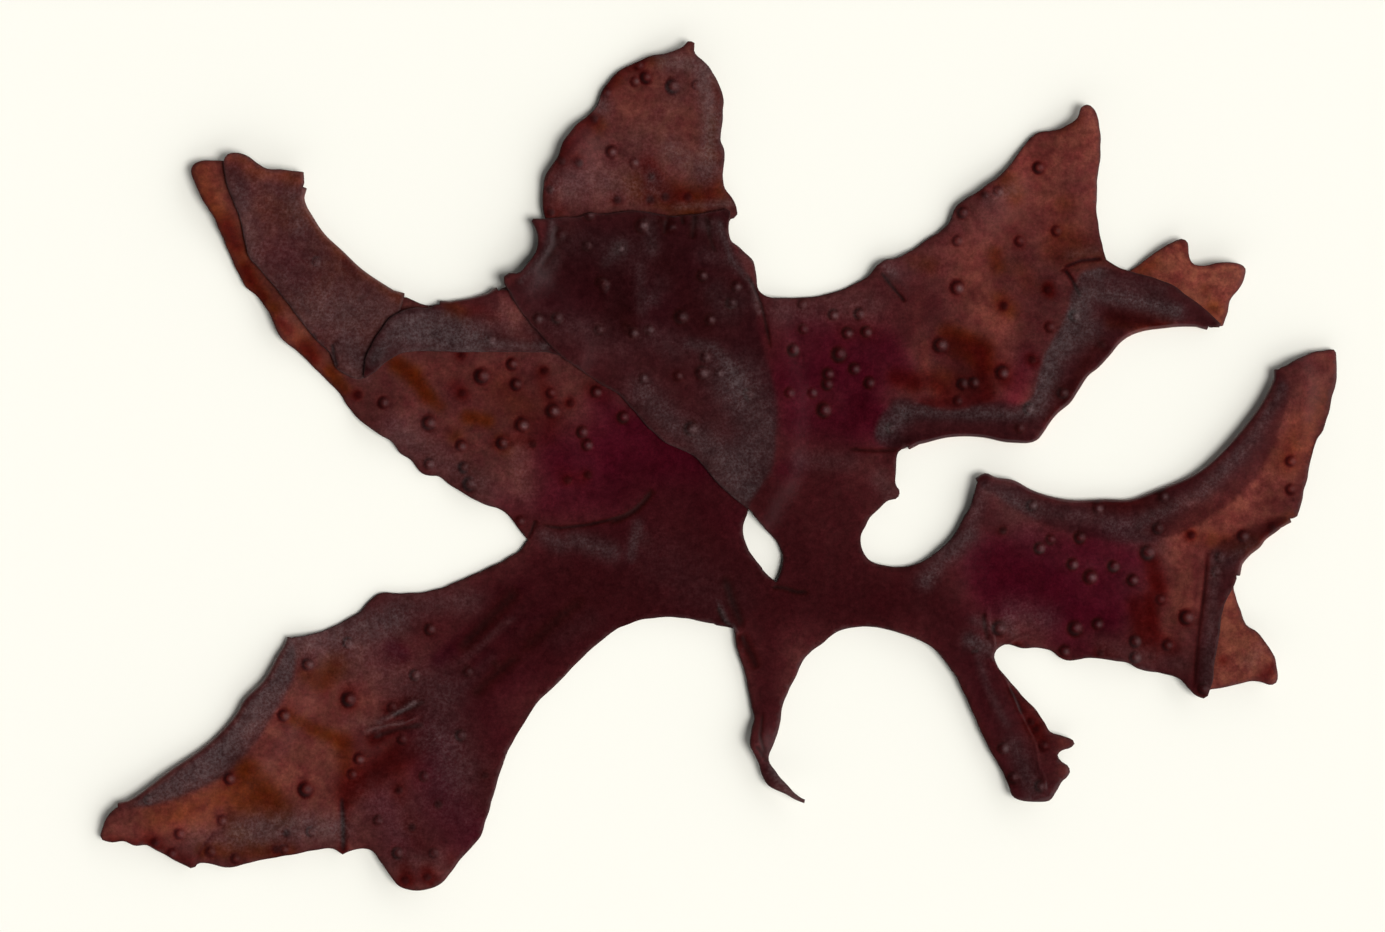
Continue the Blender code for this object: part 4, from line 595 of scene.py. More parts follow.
def inset_outline(pts, tags):
    """Pull the outline in by what the rounded rim, or the bend of a fold, stands out beyond it, and
    leave out the points that would then cross another stretch of it."""
    n = normals_of(pts, 2)
    rim = RIM / UNIT
    folded = np.array([any(t != "free" for t in g) for g in tags])
    apart = np.full(len(pts), 9)
    for i in np.nonzero(~folded)[0]:
        at = np.arange(max(0, i - 4), min(len(pts), i + 5))
        apart[at] = np.minimum(apart[at], np.abs(at - i))
    ease = np.clip(apart / 4.0, 0, 1)                # a bend narrows down to its ends
    soft = np.where(folded, rim + (fold_inset() - rim) * ease, rim)
    out = pts - n * soft[:, None]
    out[0], out[-1] = pts[0], pts[-1]
    a, b = pts[:-1], pts[1:]
    d = b - a
    t = np.clip(((out[:, None] - a) * d).sum(2) / np.maximum((d * d).sum(1), 1e-9), 0, 1)
    near = np.hypot(*np.moveaxis(out[:, None] - (a + t[..., None] * d), 2, 0)).min(1)
    keep = near > 0.80 * soft
    keep[0] = keep[-1] = True
    return out[keep], [g for g, k in zip(tags, keep) if k]


# ---------------------------------------------------------------- rasters of the plan
NX, NY = int(PLAN[0] / GRID) + 1, int(PLAN[1] / GRID) + 1


def mask_of(loop):
    m = np.zeros((NY, NX), bool)
    x1, y1 = loop[:, 0] / GRID, -loop[:, 1] / GRID
    x2, y2 = np.roll(x1, -1), np.roll(y1, -1)
    cols = np.arange(NX)
    for row in range(max(0, int(y1.min())), min(NY, int(y1.max()) + 2)):
        yy = row + 1e-4
        hit = (y1 > yy) != (y2 > yy)
        if hit.any():
            xs = np.sort(x1[hit] + (yy - y1[hit]) * (x2[hit] - x1[hit]) / (y2[hit] - y1[hit]))
            m[row] = (np.searchsorted(xs, cols) % 2).astype(bool)
    return m


def shifted(a, dy, dx):
    out = np.zeros_like(a)
    h, w = a.shape
    ys, yd = (0, dy) if dy >= 0 else (-dy, 0)
    xs, xd = (0, dx) if dx >= 0 else (-dx, 0)
    out[yd:h - ys, xd:w - xs] = a[ys:h - yd, xs:w - xd]
    return out


def spread(a, reach):
    """Grow every value by a disc of the given reach in plan units."""
    r = int(round(reach / GRID))
    out = a.copy()
    for dy in range(-r, r + 1):
        half = int(math.sqrt(r * r - dy * dy))
        rows = shifted(a, dy, 0)
        best, span = rows.copy(), 0
        while span < half:
            hop = min(half - span, max(1, span))
            best = np.maximum(best, np.maximum(shifted(best, 0, hop), shifted(best, 0, -hop)))
            span += hop
        out = np.maximum(out, best)
    return out


def soften(a, reach):
    """Blur within a limited reach: three box blurs whose reach together is the one given."""
    r = max(1, int(round(reach / GRID / 3)))
    w = 2 * r + 1
    for _ in range(3):
        for axis in (0, 1):
            pad = [(0, 0), (0, 0)]
            pad[axis] = (r + 1, r)
            c = np.cumsum(np.pad(a, pad, mode="edge"), axis=axis)
            a = ((c[w:] - c[:-w]) if axis == 0 else (c[:, w:] - c[:, :-w])) / w
    return a


def sample(field, pts):
    gx = np.clip(pts[:, 0] / GRID, 0, NX - 1.001)
    gy = np.clip(-pts[:, 1] / GRID, 0, NY - 1.001)
    ix, iy = gx.astype(int), gy.astype(int)
    fx, fy = gx - ix, gy - iy
    return ((field[iy, ix] * (1 - fx) + field[iy, ix + 1] * fx) * (1 - fy)
            + (field[iy + 1, ix] * (1 - fx) + field[iy + 1, ix + 1] * fx) * fy)


def thickness(pts):
    d2 = (pts[:, 0] - BASE_AT[0]) ** 2 + (pts[:, 1] + BASE_AT[1]) ** 2
    return BLADE + BASE_THICK * np.exp(-d2 / (2 * BASE_REACH ** 2))


def off_line(pts, line):
    """Distance from points (y up) to a line of plan places (y down)."""
    q = np.array(line, float) * (1, -1)
    if len(q) == 1:
        return np.hypot(*(pts - q[0]).T)
    a, d = q[:-1], np.diff(q, axis=0)
    best = np.full(len(pts), 1e9)
    for p, v in zip(a, d):
        t = np.clip(((pts - p) @ v) / (v @ v), 0, 1)
        best = np.minimum(best, np.hypot(*(pts - (p + t[:, None] * v)).T))
    return best


def along_line(pts, line):
    """How far a point is from the middle of the line, as a share of half its length: 1 at the ends."""
    q = np.array(line, float) * (1, -1)
    seg = np.hypot(*np.diff(q, axis=0).T)
    total = seg.sum()
    best, where, run = np.full(len(pts), 1e9), np.zeros(len(pts)), 0.0
    for p, v, s in zip(q[:-1], np.diff(q, axis=0), seg):
        t = np.clip(((pts - p) @ v) / (v @ v), 0, 1)
        d = np.hypot(*(pts - (p + t[:, None] * v)).T)
        where = np.where(d < best, run + t * s, where)
        best = np.minimum(best, d)
        run += s
    return np.abs(2 * where / total - 1)


def swell(pts):
    """Height that the whole stack of layers is lifted by, in mm."""
    z = np.zeros(len(pts))
    for (cx, cy), along, across, turn, high in SWELLS:
        a = math.radians(turn)
        dx, dy = pts[:, 0] - cx, pts[:, 1] + cy
        u = dx * math.cos(a) + dy * math.sin(a)
        v = -dx * math.sin(a) + dy * math.cos(a)
        z += high * np.maximum(0, 1 - (u / (1.7 * along)) ** 2 - (v / (1.7 * across)) ** 2) ** 2
    for line, reach, high in CURLS:
        z += high * np.exp(-(off_line(pts, line) / reach) ** 2)
    return z


def papilla(r, size):
    """Height of a papilla at a share r of its radius: a low dome with a shallow dent round it."""
    dome = np.maximum(0, 1 - r * r) ** 2
    return size * (dome - 0.22 * np.exp(-((r - 1.25) / 0.28) ** 2))


def relief(name, pts):
    """What the top face of a layer stands above its smooth shape, in mm; how dark it is there, from painted shade on
    the papillae's left sides and in the creases and from the dark red spots; and how grey, from painted highlight on
    the papillae's right sides.
    """
    z = undulation(pts)
    dark, highlight = np.zeros(len(pts)), np.zeros(len(pts))
    for x, y, (r, high, deep) in PAPILLAE.get(name, []):
        d = np.hypot(pts[:, 0] - x, pts[:, 1] + y)
        near = d < 2.6 * r
        if not near.any():
            continue
        z[near] += papilla(d[near] / r, high)
        odd = ((x * 7 + y * 13) % 11) / 10 - 0.5            # papillae aren't all alike
        c, s = math.cos(0.9 * odd), math.sin(0.9 * odd)
        dx, dy = (pts[near, 0] - x) / r, (pts[near, 1] + y) / r
        u, v = dx * c + dy * s, dy * c - dx * s
        side = np.hypot(u + 0.10, v)
        # the red spots are dark all over; on the other papillae the dark crescent on the left, away from the light, is
        # painted shade, and the grey on the right, towards it, is painted highlight
        if deep < 0:
            painted_shade_and_spots = -deep * np.exp(-(side / 0.85) ** 4)
        else:
            lee = np.clip(0.60 - 0.55 * u / np.maximum(side, 0.08), 0, 1) ** 1.1
            painted_shade_and_spots = deep * (1 + 0.3 * odd) * lee * np.exp(-((side - 0.86) / (0.28 + 0.08 * odd)) ** 2)
            papilla_highlight = np.exp(-(((u - 0.22) / 0.46) ** 2 + (v / 0.54) ** 2) ** 1.4)
            highlight[near] = np.maximum(highlight[near], PAPILLA_HIGHLIGHT[deep] * (1 - 0.5 * odd) * papilla_highlight)
        dark[near] = np.maximum(dark[near], painted_shade_and_spots)
    for line, wide, deep, crease_shade in CREASES.get(name, []):
        d = off_line(pts, line)
        near = d < 3.2 * wide
        if not near.any():
            continue
        fade = np.clip((1 - along_line(pts[near], line)) * 4.0, 0, 1) ** 0.7
        z[near] += deep * (0.40 if deep < 0 else 0.70) * np.exp(-(d[near] / wide) ** 2) * fade
        # painted shade down the crease
        dark[near] = np.maximum(dark[near], crease_shade * np.exp(-(d[near] / (wide * 0.95)) ** 2) * fade)
    return z, dark, highlight


def need_of(name, covered, edges):
    """Raster of how fine the net has to be: 0 hidden, 1 open, 2 by a layer's edge or papilla, 3 by a crease."""
    need = np.where(covered, 0, 1).astype(np.int8)
    need[edges & ~covered] = 2
    ys, xs = np.mgrid[0:NY, 0:NX]
    for x, y, (r, _, _) in PAPILLAE.get(name, []):
        k = int(2.0 * r / GRID) + 2
        cx, cy = int(x / GRID), int(y / GRID)
        win = (slice(max(0, cy - k), cy + k + 1), slice(max(0, cx - k), cx + k + 1))
        hit = np.hypot(xs[win] * GRID - x, ys[win] * GRID - y) < 1.9 * r
        need[win][hit & (need[win] > 0)] = 2
    for line, wide, deep, crease_shade in CREASES.get(name, []):
        q = np.array(line, float)
        lo = np.maximum(((q.min(0) - 12) / GRID).astype(int), 0)
        hi = ((q.max(0) + 13) / GRID).astype(int)
        win = (slice(lo[1], hi[1]), slice(lo[0], hi[0]))
        p = np.stack([xs[win].ravel() * GRID, -ys[win].ravel() * GRID], 1).astype(float)
        d = off_line(p, line).reshape(xs[win].shape)
        need[win][(d < 2.2 * wide) & (need[win] > 0)] = 3 if wide < 3.1 else 2
    return need


# ---------------------------------------------------------------- the sheet
def detail_points(name, need):
    """Rings of points on the papillae and rows of points along the creases, and what they take up."""
    taken = np.zeros((NY, NX), bool)
    ys, xs = np.mgrid[0:NY, 0:NX]
    out = []

    def free_of(p):
        ix = np.clip(np.round(p[:, 0] / GRID).astype(int), 0, NX - 1)
        iy = np.clip(np.round(-p[:, 1] / GRID).astype(int), 0, NY - 1)
        return (need[iy, ix] > 0) & ~taken[iy, ix]

    for line, wide, _, _ in CREASES.get(name, []):
        q = np.array(line, float)
        flat = smooth_curve([tuple(v) for v in q], 2.4) * (1, -1)
        n = normals_of(flat, 1, closed=False)
        rows = [flat + n * (k * wide) for k in (-1.9, -1.15, -0.55, 0.0, 0.55, 1.15, 1.9)]
        p = np.vstack(rows)
        p = p[free_of(p)]
        lo = np.maximum(((q.min(0) - 16) / GRID).astype(int), 0)
        hi = ((q.max(0) + 17) / GRID).astype(int)
        win = (slice(lo[1], hi[1]), slice(lo[0], hi[0]))
        grid = np.stack([xs[win].ravel() * GRID, -ys[win].ravel() * GRID], 1).astype(float)
        far = np.full(len(grid), 1e9)
        for v in flat:
            far = np.minimum(far, np.hypot(*(grid - v).T))
        taken[win] |= (far < 2.3 * wide + 0.8).reshape(xs[win].shape)
        out.append(p)
    for x, y, (r, _, _) in PAPILLAE.get(name, []):
        ring = [(x, -y)]
        for share, count in ((0.34, 6), (0.62, 9), (0.88, 12), (1.14, 14), (1.45, 15)):
            turn = np.arange(count) * 2 * math.pi / count + share * 5
            ring += list(zip(x + share * r * np.cos(turn), -y + share * r * np.sin(turn)))
        p = np.array(ring)
        p = p[free_of(p)]
        k = int(1.8 * r / GRID) + 2
        cx, cy = int(x / GRID), int(y / GRID)
        win = (slice(max(0, cy - k), cy + k + 1), slice(max(0, cx - k), cx + k + 1))
        taken[win] |= np.hypot(xs[win] * GRID - x, ys[win] * GRID - y) < 1.62 * r
        out.append(p)
    return (np.vstack(out) if out else np.zeros((0, 2))), taken


def field_points(loop, need, gaps, seed, own=None, taken=None):
    """Points inside a loop on triangular nets, each net where it is wanted."""
    lo, hi = loop.min(0), loop.max(0)
    tree = kdtree.KDTree(len(loop))
    for i, p in enumerate(loop):
        tree.insert((p[0], p[1], 0.0), i)
    tree.balance()
    inside = mask_of(loop)
    rng = np.random.RandomState(seed)
    out = []
    for level, gap in enumerate(gaps):
        dy = gap * math.sqrt(3) / 2
        rows = int((hi[1] - lo[1]) / dy) + 2
        cols = int((hi[0] - lo[0]) / gap) + 2
        j, i = np.mgrid[0:rows, 0:cols]
        p = np.stack([lo[0] + (i + 0.5 * (j % 2)) * gap, lo[1] + j * dy], 2).reshape(-1, 2)
        p = p + rng.uniform(-0.16, 0.16, p.shape) * gap
        ix = np.clip(np.round(p[:, 0] / GRID).astype(int), 0, NX - 1)
        iy = np.clip(np.round(-p[:, 1] / GRID).astype(int), 0, NY - 1)
        good = inside[iy, ix] & (need[iy, ix] == level)
        if taken is not None:
            good &= ~taken[iy, ix]
        p = p[good]
        if len(p):
            clear = [tree.find((a, b, 0.0))[2] > max(0.55 * gap, 1.5) for a, b in p]
            out.append(p[np.array(clear)])
    if own is not None and len(own):
        ix = np.clip(np.round(own[:, 0] / GRID).astype(int), 0, NX - 1)
        iy = np.clip(np.round(-own[:, 1] / GRID).astype(int), 0, NY - 1)
        own = own[inside[iy, ix]]
        clear = [tree.find((a, b, 0.0))[2] > 1.0 for a, b in own]
        out.append(own[np.array(clear)])
    return np.vstack(out) if out else np.zeros((0, 2))


def triangulate(loop, inner, name):
    pts = [Vector((float(x), float(y))) for x, y in np.vstack([loop, inner])]
    got = delaunay_2d_cdt(pts, [], [list(range(len(loop)))], 1, 1e-5)
    back = {i: k for k, src in enumerate(got[3]) for i in src}
    if len(got[0]) != len(pts):
        print("NOTE", name, "margin crosses itself:", len(got[0]) - len(pts))
    # give the points back in the order they came in
    order = [back[i] for i in range(len(pts))]
    number = {k: i for i, k in enumerate(order)}
    extra = [k for k in range(len(got[0])) if k not in number]
    for k in extra:
        number[k] = len(number)
    xy = np.array([(got[0][k].x, got[0][k].y) for k in order + extra])
    tris = np.array([[number[v] for v in f] for f in got[2]])
    return xy, tris


class Sheet:
    """The middle surface of the blade. It carries two nets on the same margins: tris_a for the face
    on the side of the half vectors, tris_b for the other."""

    def __init__(self):
        self.place, self.half, self.a, self.b, self.layer = [], [], [], [], []

    def count(self):
        return sum(len(p) for p in self.place)

    def add(self, xy, z, half, layer, up):
        base = self.count()
        self.place.append(np.column_stack([xy * UNIT, z]))
        h = np.zeros((len(xy), 3))
        h[:, 2] = half if up else -half
        self.half.append(h)
        self.layer.append(np.full(len(xy), layer))
        return base

    def bend(self, low, high, place, half, layer, normal, side):
        rows = [list(low)]
        for k in range(1, BEND_STEPS):
            phi = math.pi * k / BEND_STEPS
            base = self.count()
            c = (place[low] + place[high]) / 2
            r = (place[high][:, 2] - place[low][:, 2]) / 2
            radial = np.column_stack([normal * math.sin(phi), np.full(len(low), -math.cos(phi))])
            t = (np.abs(half[low][:, 2]) + np.abs(half[high][:, 2])) / 2
            self.place.append(c + radial * r[:, None])
            self.half.append(radial * t[:, None] * side)
            self.layer.append(layer[high] if k > BEND_STEPS / 2 else layer[low])
            rows.append(list(range(base, base + len(low))))
        rows.append(list(high))
        for p, q in zip(rows, rows[1:]):
            for i in range(len(p) - 1):
                quad = (p[i], p[i + 1], q[i + 1], q[i])
                two = np.array([(quad[0], quad[1], quad[2]), (quad[0], quad[2], quad[3])])
                self.a.append(two)
                self.b.append(two)

    def arrays(self):
        return (np.vstack(self.place), np.vstack(self.half), np.concatenate(self.layer),
                np.vstack(self.a), np.vstack(self.b))


RASTERS = {}


def build_sheet():
    left, left_tags = inset_outline(*half_outline(LEFT))
    right, right_tags = inset_outline(*half_outline(RIGHT))
    n = max(1, round(np.hypot(*(left[0] - left[-1])) / EDGE_STEP))
    seam = [left[-1] + (left[0] - left[-1]) * k / n for k in range(1, n)]
    right[0], right[-1] = left[-1], left[0]
    loops = {"left": np.vstack([left, seam]), "right": np.vstack([right, seam[::-1]])}
    folds = {}
    for tags, pts, half_name in ((left_tags, left, "left"), (right_tags, right, "right")):
        for name in FLAPS:
            idx = [i for i, g in enumerate(tags) if name in g]
            if not idx:
                continue
            fold = pts[idx]
            free = smooth_curve(FLAPS[name], EDGE_STEP)[::-1] * (1, -1)
            n_free = normals_of(free, 2, closed=False)
            fade = np.clip(np.minimum(np.arange(len(free)), np.arange(len(free))[::-1]) / 8, 0, 1)
            free = free + n_free * (fade * wavy_margin(free))[:, None]
            free = free[1:-1]
            off = np.hypot(*np.moveaxis(free[:, None] - fold, 2, 0)).min(1)
            free = free[off > 3.2]
            folds[name] = (half_name, idx, len(fold))
            loops[name] = np.vstack([fold, free])

    grid_pts = np.stack(np.meshgrid(np.arange(NX) * GRID, -np.arange(NY) * GRID), 2).reshape(-1, 2)
    thick = thickness(grid_pts).reshape(NY, NX)
    a, b = left[-1], left[0]
    t = np.clip(((grid_pts - a) * (b - a)).sum(1) / ((b - a) ** 2).sum(), 0, 1)
    off_seam = np.hypot(*(grid_pts - (a + t[:, None] * (b - a))).T).reshape(NY, NX)
    masks = {name: mask_of(loops[name]) for name in ORDER}
    lift, top = {}, np.zeros((NY, NX))
    for name in ORDER:
        own = np.where(masks[name], top, 0.0)
        if name == "right":
            own[off_seam < 24.0] = 0.0       # the halves are one sheet there
        s = soften(spread(own, DRAPE), DRAPE)
        lift[name] = s
        grown = spread(masks[name].astype(float), 4.0) > 0.5
        top = np.where(grown, np.maximum(top, s + thick + GAP), top)

    below, above = {}, {}
    fuzzy = {name: soften(masks[name].astype(float), 3.0) for name in ORDER}
    joined = off_seam < 12.0
    for k, name in enumerate(ORDER):
        below[name] = sum((fuzzy[m] for m in ORDER[:k]), np.zeros((NY, NX)))
        above[name] = sum((fuzzy[m] for m in ORDER[k + 1:]), np.zeros((NY, NX)))
        if name == "right":
            below[name] = np.where(joined, 0.0, below[name])
        if name == "left":
            above[name] = np.where(joined, 0.0, above[name])
    RASTERS.update(below=below, above=above, masks=masks)

    sheet = Sheet()
    base_of = {}
    for k, name in enumerate(ORDER):
        loop = loops[name]
        if area2(loop) < 0:
            raise ValueError(name + " runs the wrong way round")
        covered = above[name] > 0.985
        slope = np.hypot(*np.gradient(lift[name])) > 0.006
        under = below[name]
        edge = np.hypot(*np.gradient(under)) > 0.03
        need = need_of(name, covered, (slope | edge))
        own, taken = detail_points(name, need)
        place_a = field_points(loop, need, GAPS, 100 + k, own, taken)
        coarse = np.where(slope, 2, 1).astype(np.int8)
        place_b = field_points(loop, coarse, UNDER_GAPS, 200 + k)
        xa, ta = triangulate(loop, place_a, name)
        xb, tb = triangulate(loop, place_b, name)
        nl = len(loop)
        xy = np.vstack([xa, xb[nl:]])
        tb = np.where(tb >= nl, tb + len(xa) - nl, tb)
        up = name in ("left", "right")
        top_first = up                      # the half vectors of a folded flap look down
        thick_at = thickness(xy)
        z = sample(lift[name], xy) + thick_at / 2 + swell(xy)
        base = sheet.add(xy, z, thick_at / 2, k, up)
        fine, rough = ta + base, tb + base
        if top_first:
            sheet.a.append(fine)
            sheet.b.append(rough)
        else:
            sheet.a.append(rough[:, ::-1])
            sheet.b.append(fine[:, ::-1])
        base_of[name] = base

    place, half, layer = np.vstack(sheet.place), np.vstack(sheet.half), np.concatenate(sheet.layer)
    for name, (half_name, idx, n_fold) in folds.items():
        main = base_of[half_name] + np.array(idx)
        turn = base_of[name] + np.arange(n_fold)
        normal = normals_of(place[main][:, :2] / UNIT, 2, closed=False)
        if name in UNDER:
            sheet.bend(turn, main, place, half, layer, normal, 1)
        else:
            sheet.bend(main, turn, place, half, layer, normal, -1)
    return sheet.arrays()


def weld(place, half, layer, nets):
    """Make one point of those that lie in one place, such as both halves' points on the seam."""
    keys = np.round(place, 4)
    _, first, where = np.unique(keys, axis=0, return_index=True, return_inverse=True)
    where = where.reshape(-1)
    out = []
    for tris in nets:
        tris = where[tris]
        good = (tris[:, 0] != tris[:, 1]) & (tris[:, 1] != tris[:, 2]) & (tris[:, 2] != tris[:, 0])
        out.append(tris[good])
    return place[first], half[first], layer[first], out


def orient(tris):
    """Wind every triangle like its neighbours."""
    edges = {}
    rows = tris.tolist()
    for i, t in enumerate(rows):
        for a, b in ((t[0], t[1]), (t[1], t[2]), (t[2], t[0])):
            edges.setdefault((a, b) if a < b else (b, a), []).append((i, a < b))
    near = [[] for _ in rows]
    for pair in edges.values():
        if len(pair) > 2:
            raise ValueError("three triangles share an edge")
        if len(pair) == 2:
            (i, d1), (j, d2) = pair
            near[i].append((j, d1 == d2))
            near[j].append((i, d1 == d2))
    flip = [-1] * len(rows)
    flip[0] = 0
    stack = [0]
    while stack:
        i = stack.pop()
        for j, wrong in near[i]:
            want = flip[i] ^ int(wrong)
            if flip[j] < 0:
                flip[j] = want
                stack.append(j)
            elif flip[j] != want:
                raise ValueError("the sheet is twisted")
    flip = np.array(flip)
    if (flip < 0).any():
        raise ValueError("the sheet is in two pieces")
    out = tris.copy()
    out[flip == 1] = out[flip == 1][:, ::-1]
    return out


def face_side(place, half, tris):
    """1 if the triangles look the way of the half vectors, else -1."""
    p = place[tris]
    n = np.cross(p[:, 1] - p[:, 0], p[:, 2] - p[:, 0])
    return 1 if ((n * half[tris].sum(1)).sum(1)).sum() > 0 else -1


RIM_TURNS = (40.0, 90.0, 140.0)


def build_solid():
    place, half, layer, tris_a, tris_b = build_sheet()
    place, half, layer, (tris_a, tris_b) = weld(place, half, layer, (tris_a, tris_b))
    tris_a, tris_b = orient(tris_a), orient(tris_b)
    if face_side(place, half, tris_a) < 0:
        tris_a = tris_a[:, ::-1]
    if face_side(place, half, tris_b) < 0:
        tris_b = tris_b[:, ::-1]
    n = len(place)
    used = set()
    for t in tris_a.tolist():
        used.update(((t[0], t[1]), (t[1], t[2]), (t[2], t[0])))
    rim = [(a, b) for (a, b) in used if (b, a) not in used]
    out = np.zeros((n, 3))
    for a, b in rim:
        side = np.cross(place[b] - place[a], half[a] + half[b])
        side /= max(np.linalg.norm(side), 1e-9)
        out[a] += side
        out[b] += side
    ends = np.array(sorted({v for e in rim for v in e}))
    number = {v: i for i, v in enumerate(ends.tolist())}
    d = out[ends]
    d /= np.maximum(np.linalg.norm(d, axis=1), 1e-9)[:, None]

    # attributes of the middle surface, by layer
    xy = place[:, :2] / UNIT
    paint = {p: np.zeros(n) for p in PAINT_KINDS}
    rise, painted_shade_and_spots, highlight_at = np.zeros(n), np.zeros(n), np.zeros(n)
    below, above = np.zeros(n), np.zeros(n)
    for k, name in enumerate(ORDER):
        sel = np.nonzero(layer == k)[0]
        at = xy[sel]
        below[sel] = sample(RASTERS["below"][name], at)
        above[sel] = sample(RASTERS["above"][name], at)
        seen = np.clip(1 - 1.35 * above[sel], 0, 1)
        z, dark, highlight = relief(name, at)
        rise[sel], painted_shade_and_spots[sel], highlight_at[sel] = z * seen, dark * seen, highlight * seen
        for p in PAINT_KINDS:
            base, strokes = TISSUE[name][p]
            rest = np.full(len(at), 1.0 - base)
            for line, reach, strength in strokes:
                rest *= 1 - strength * np.exp(-(off_line(at, line) / reach) ** 2)
            if p == "red":
                # a red halo round the papillae, set a little to the left: round the red spots it is their own red;
                # round the others it is partly red pigment, partly painted shade on the side away from the light
                for x, y, (r, _, deep) in PAPILLAE.get(name, []):
                    if abs(deep) > 0.4:
                        rest *= 1 - (0.30 if deep > 0 else 0.75) * np.exp(-(np.hypot(at[:, 0] - x + 2.0, at[:, 1] + y) / (1.20 * r)) ** 2)
            paint[p][sel] = 1 - rest

    flat = np.abs(half[:, 2]) > 0.9 * np.linalg.norm(half, axis=1)
    rise = np.where(flat, rise, 0.0)
    upper = half[:, 2] >= 0                       # the face on the half vector's side is the upper one
    first, second = place + half, place - half
    first[upper, 2] += rise[upper]
    second[~upper, 2] += rise[~upper]
    rows = [first, second]
    for turn in RIM_TURNS:
        c, s = math.cos(math.radians(turn)), math.sin(math.radians(turn))
        rows.append(place[ends] + half[ends] * c + d * (RIM * s))
    verts = np.vstack(rows)
    m = len(ends)
    faces = [tris_a, tris_b[:, ::-1] + n]
    strip = []
    for a, b in rim:
        ia, ib = number[a], number[b]
        line_a = [a] + [2 * n + r * m + ia for r in range(len(RIM_TURNS))] + [a + n]
        line_b = [b] + [2 * n + r * m + ib for r in range(len(RIM_TURNS))] + [b + n]
        for r in range(len(line_a) - 1):
            strip.append((line_b[r], line_a[r], line_a[r + 1]))
            strip.append((line_b[r], line_a[r + 1], line_b[r + 1]))
    faces = np.vstack(faces + [np.array(strip)])

    src = np.concatenate([np.arange(n), np.arange(n)] + [ends] * len(RIM_TURNS))
    is_top = np.concatenate([upper, ~upper] + [np.ones(m, bool)] * len(RIM_TURNS))
    # marks the rim and the points next to it, where the colour is darkened: partly painted shade on the rounded edge,
    # partly the deeper colour of the thick edge
    near_rim = np.zeros(n)
    near_rim[ends] = 0.45
    edge = np.concatenate([near_rim, near_rim] + [np.ones(m)] * len(RIM_TURNS))
    marks = {p: paint[p][src] for p in PAINT_KINDS}
    marks["layers"] = np.where(is_top, below[src] * (1 - marks["thin"]), above[src])
    # painted sheen from the grey strokes, with more of it where a layer lies below
    marks["painted_sheen"] = marks["painted_sheen"] + marks["painted_sheen_on_layers"] * np.clip(marks["layers"], 0, 1)
    marks["painted_sheen"] = np.clip(marks["painted_sheen"], 0, 1.2)
    # painted shade with the dark red spots, and painted highlight, on the upper faces only
    marks["painted_shade_and_spots"] = np.where(is_top, painted_shade_and_spots[src], 0.0)
    marks["papilla_highlight"] = np.where(is_top, highlight_at[src], 0.0)
    del marks["thin"], marks["painted_sheen_on_layers"]
    marks["margin"] = edge

    # drop what no face uses
    live = np.zeros(len(verts), bool)
    live[faces.ravel()] = True
    to = np.cumsum(live) - 1
    return verts[live], to[faces], {k: v[live] for k, v in marks.items()}


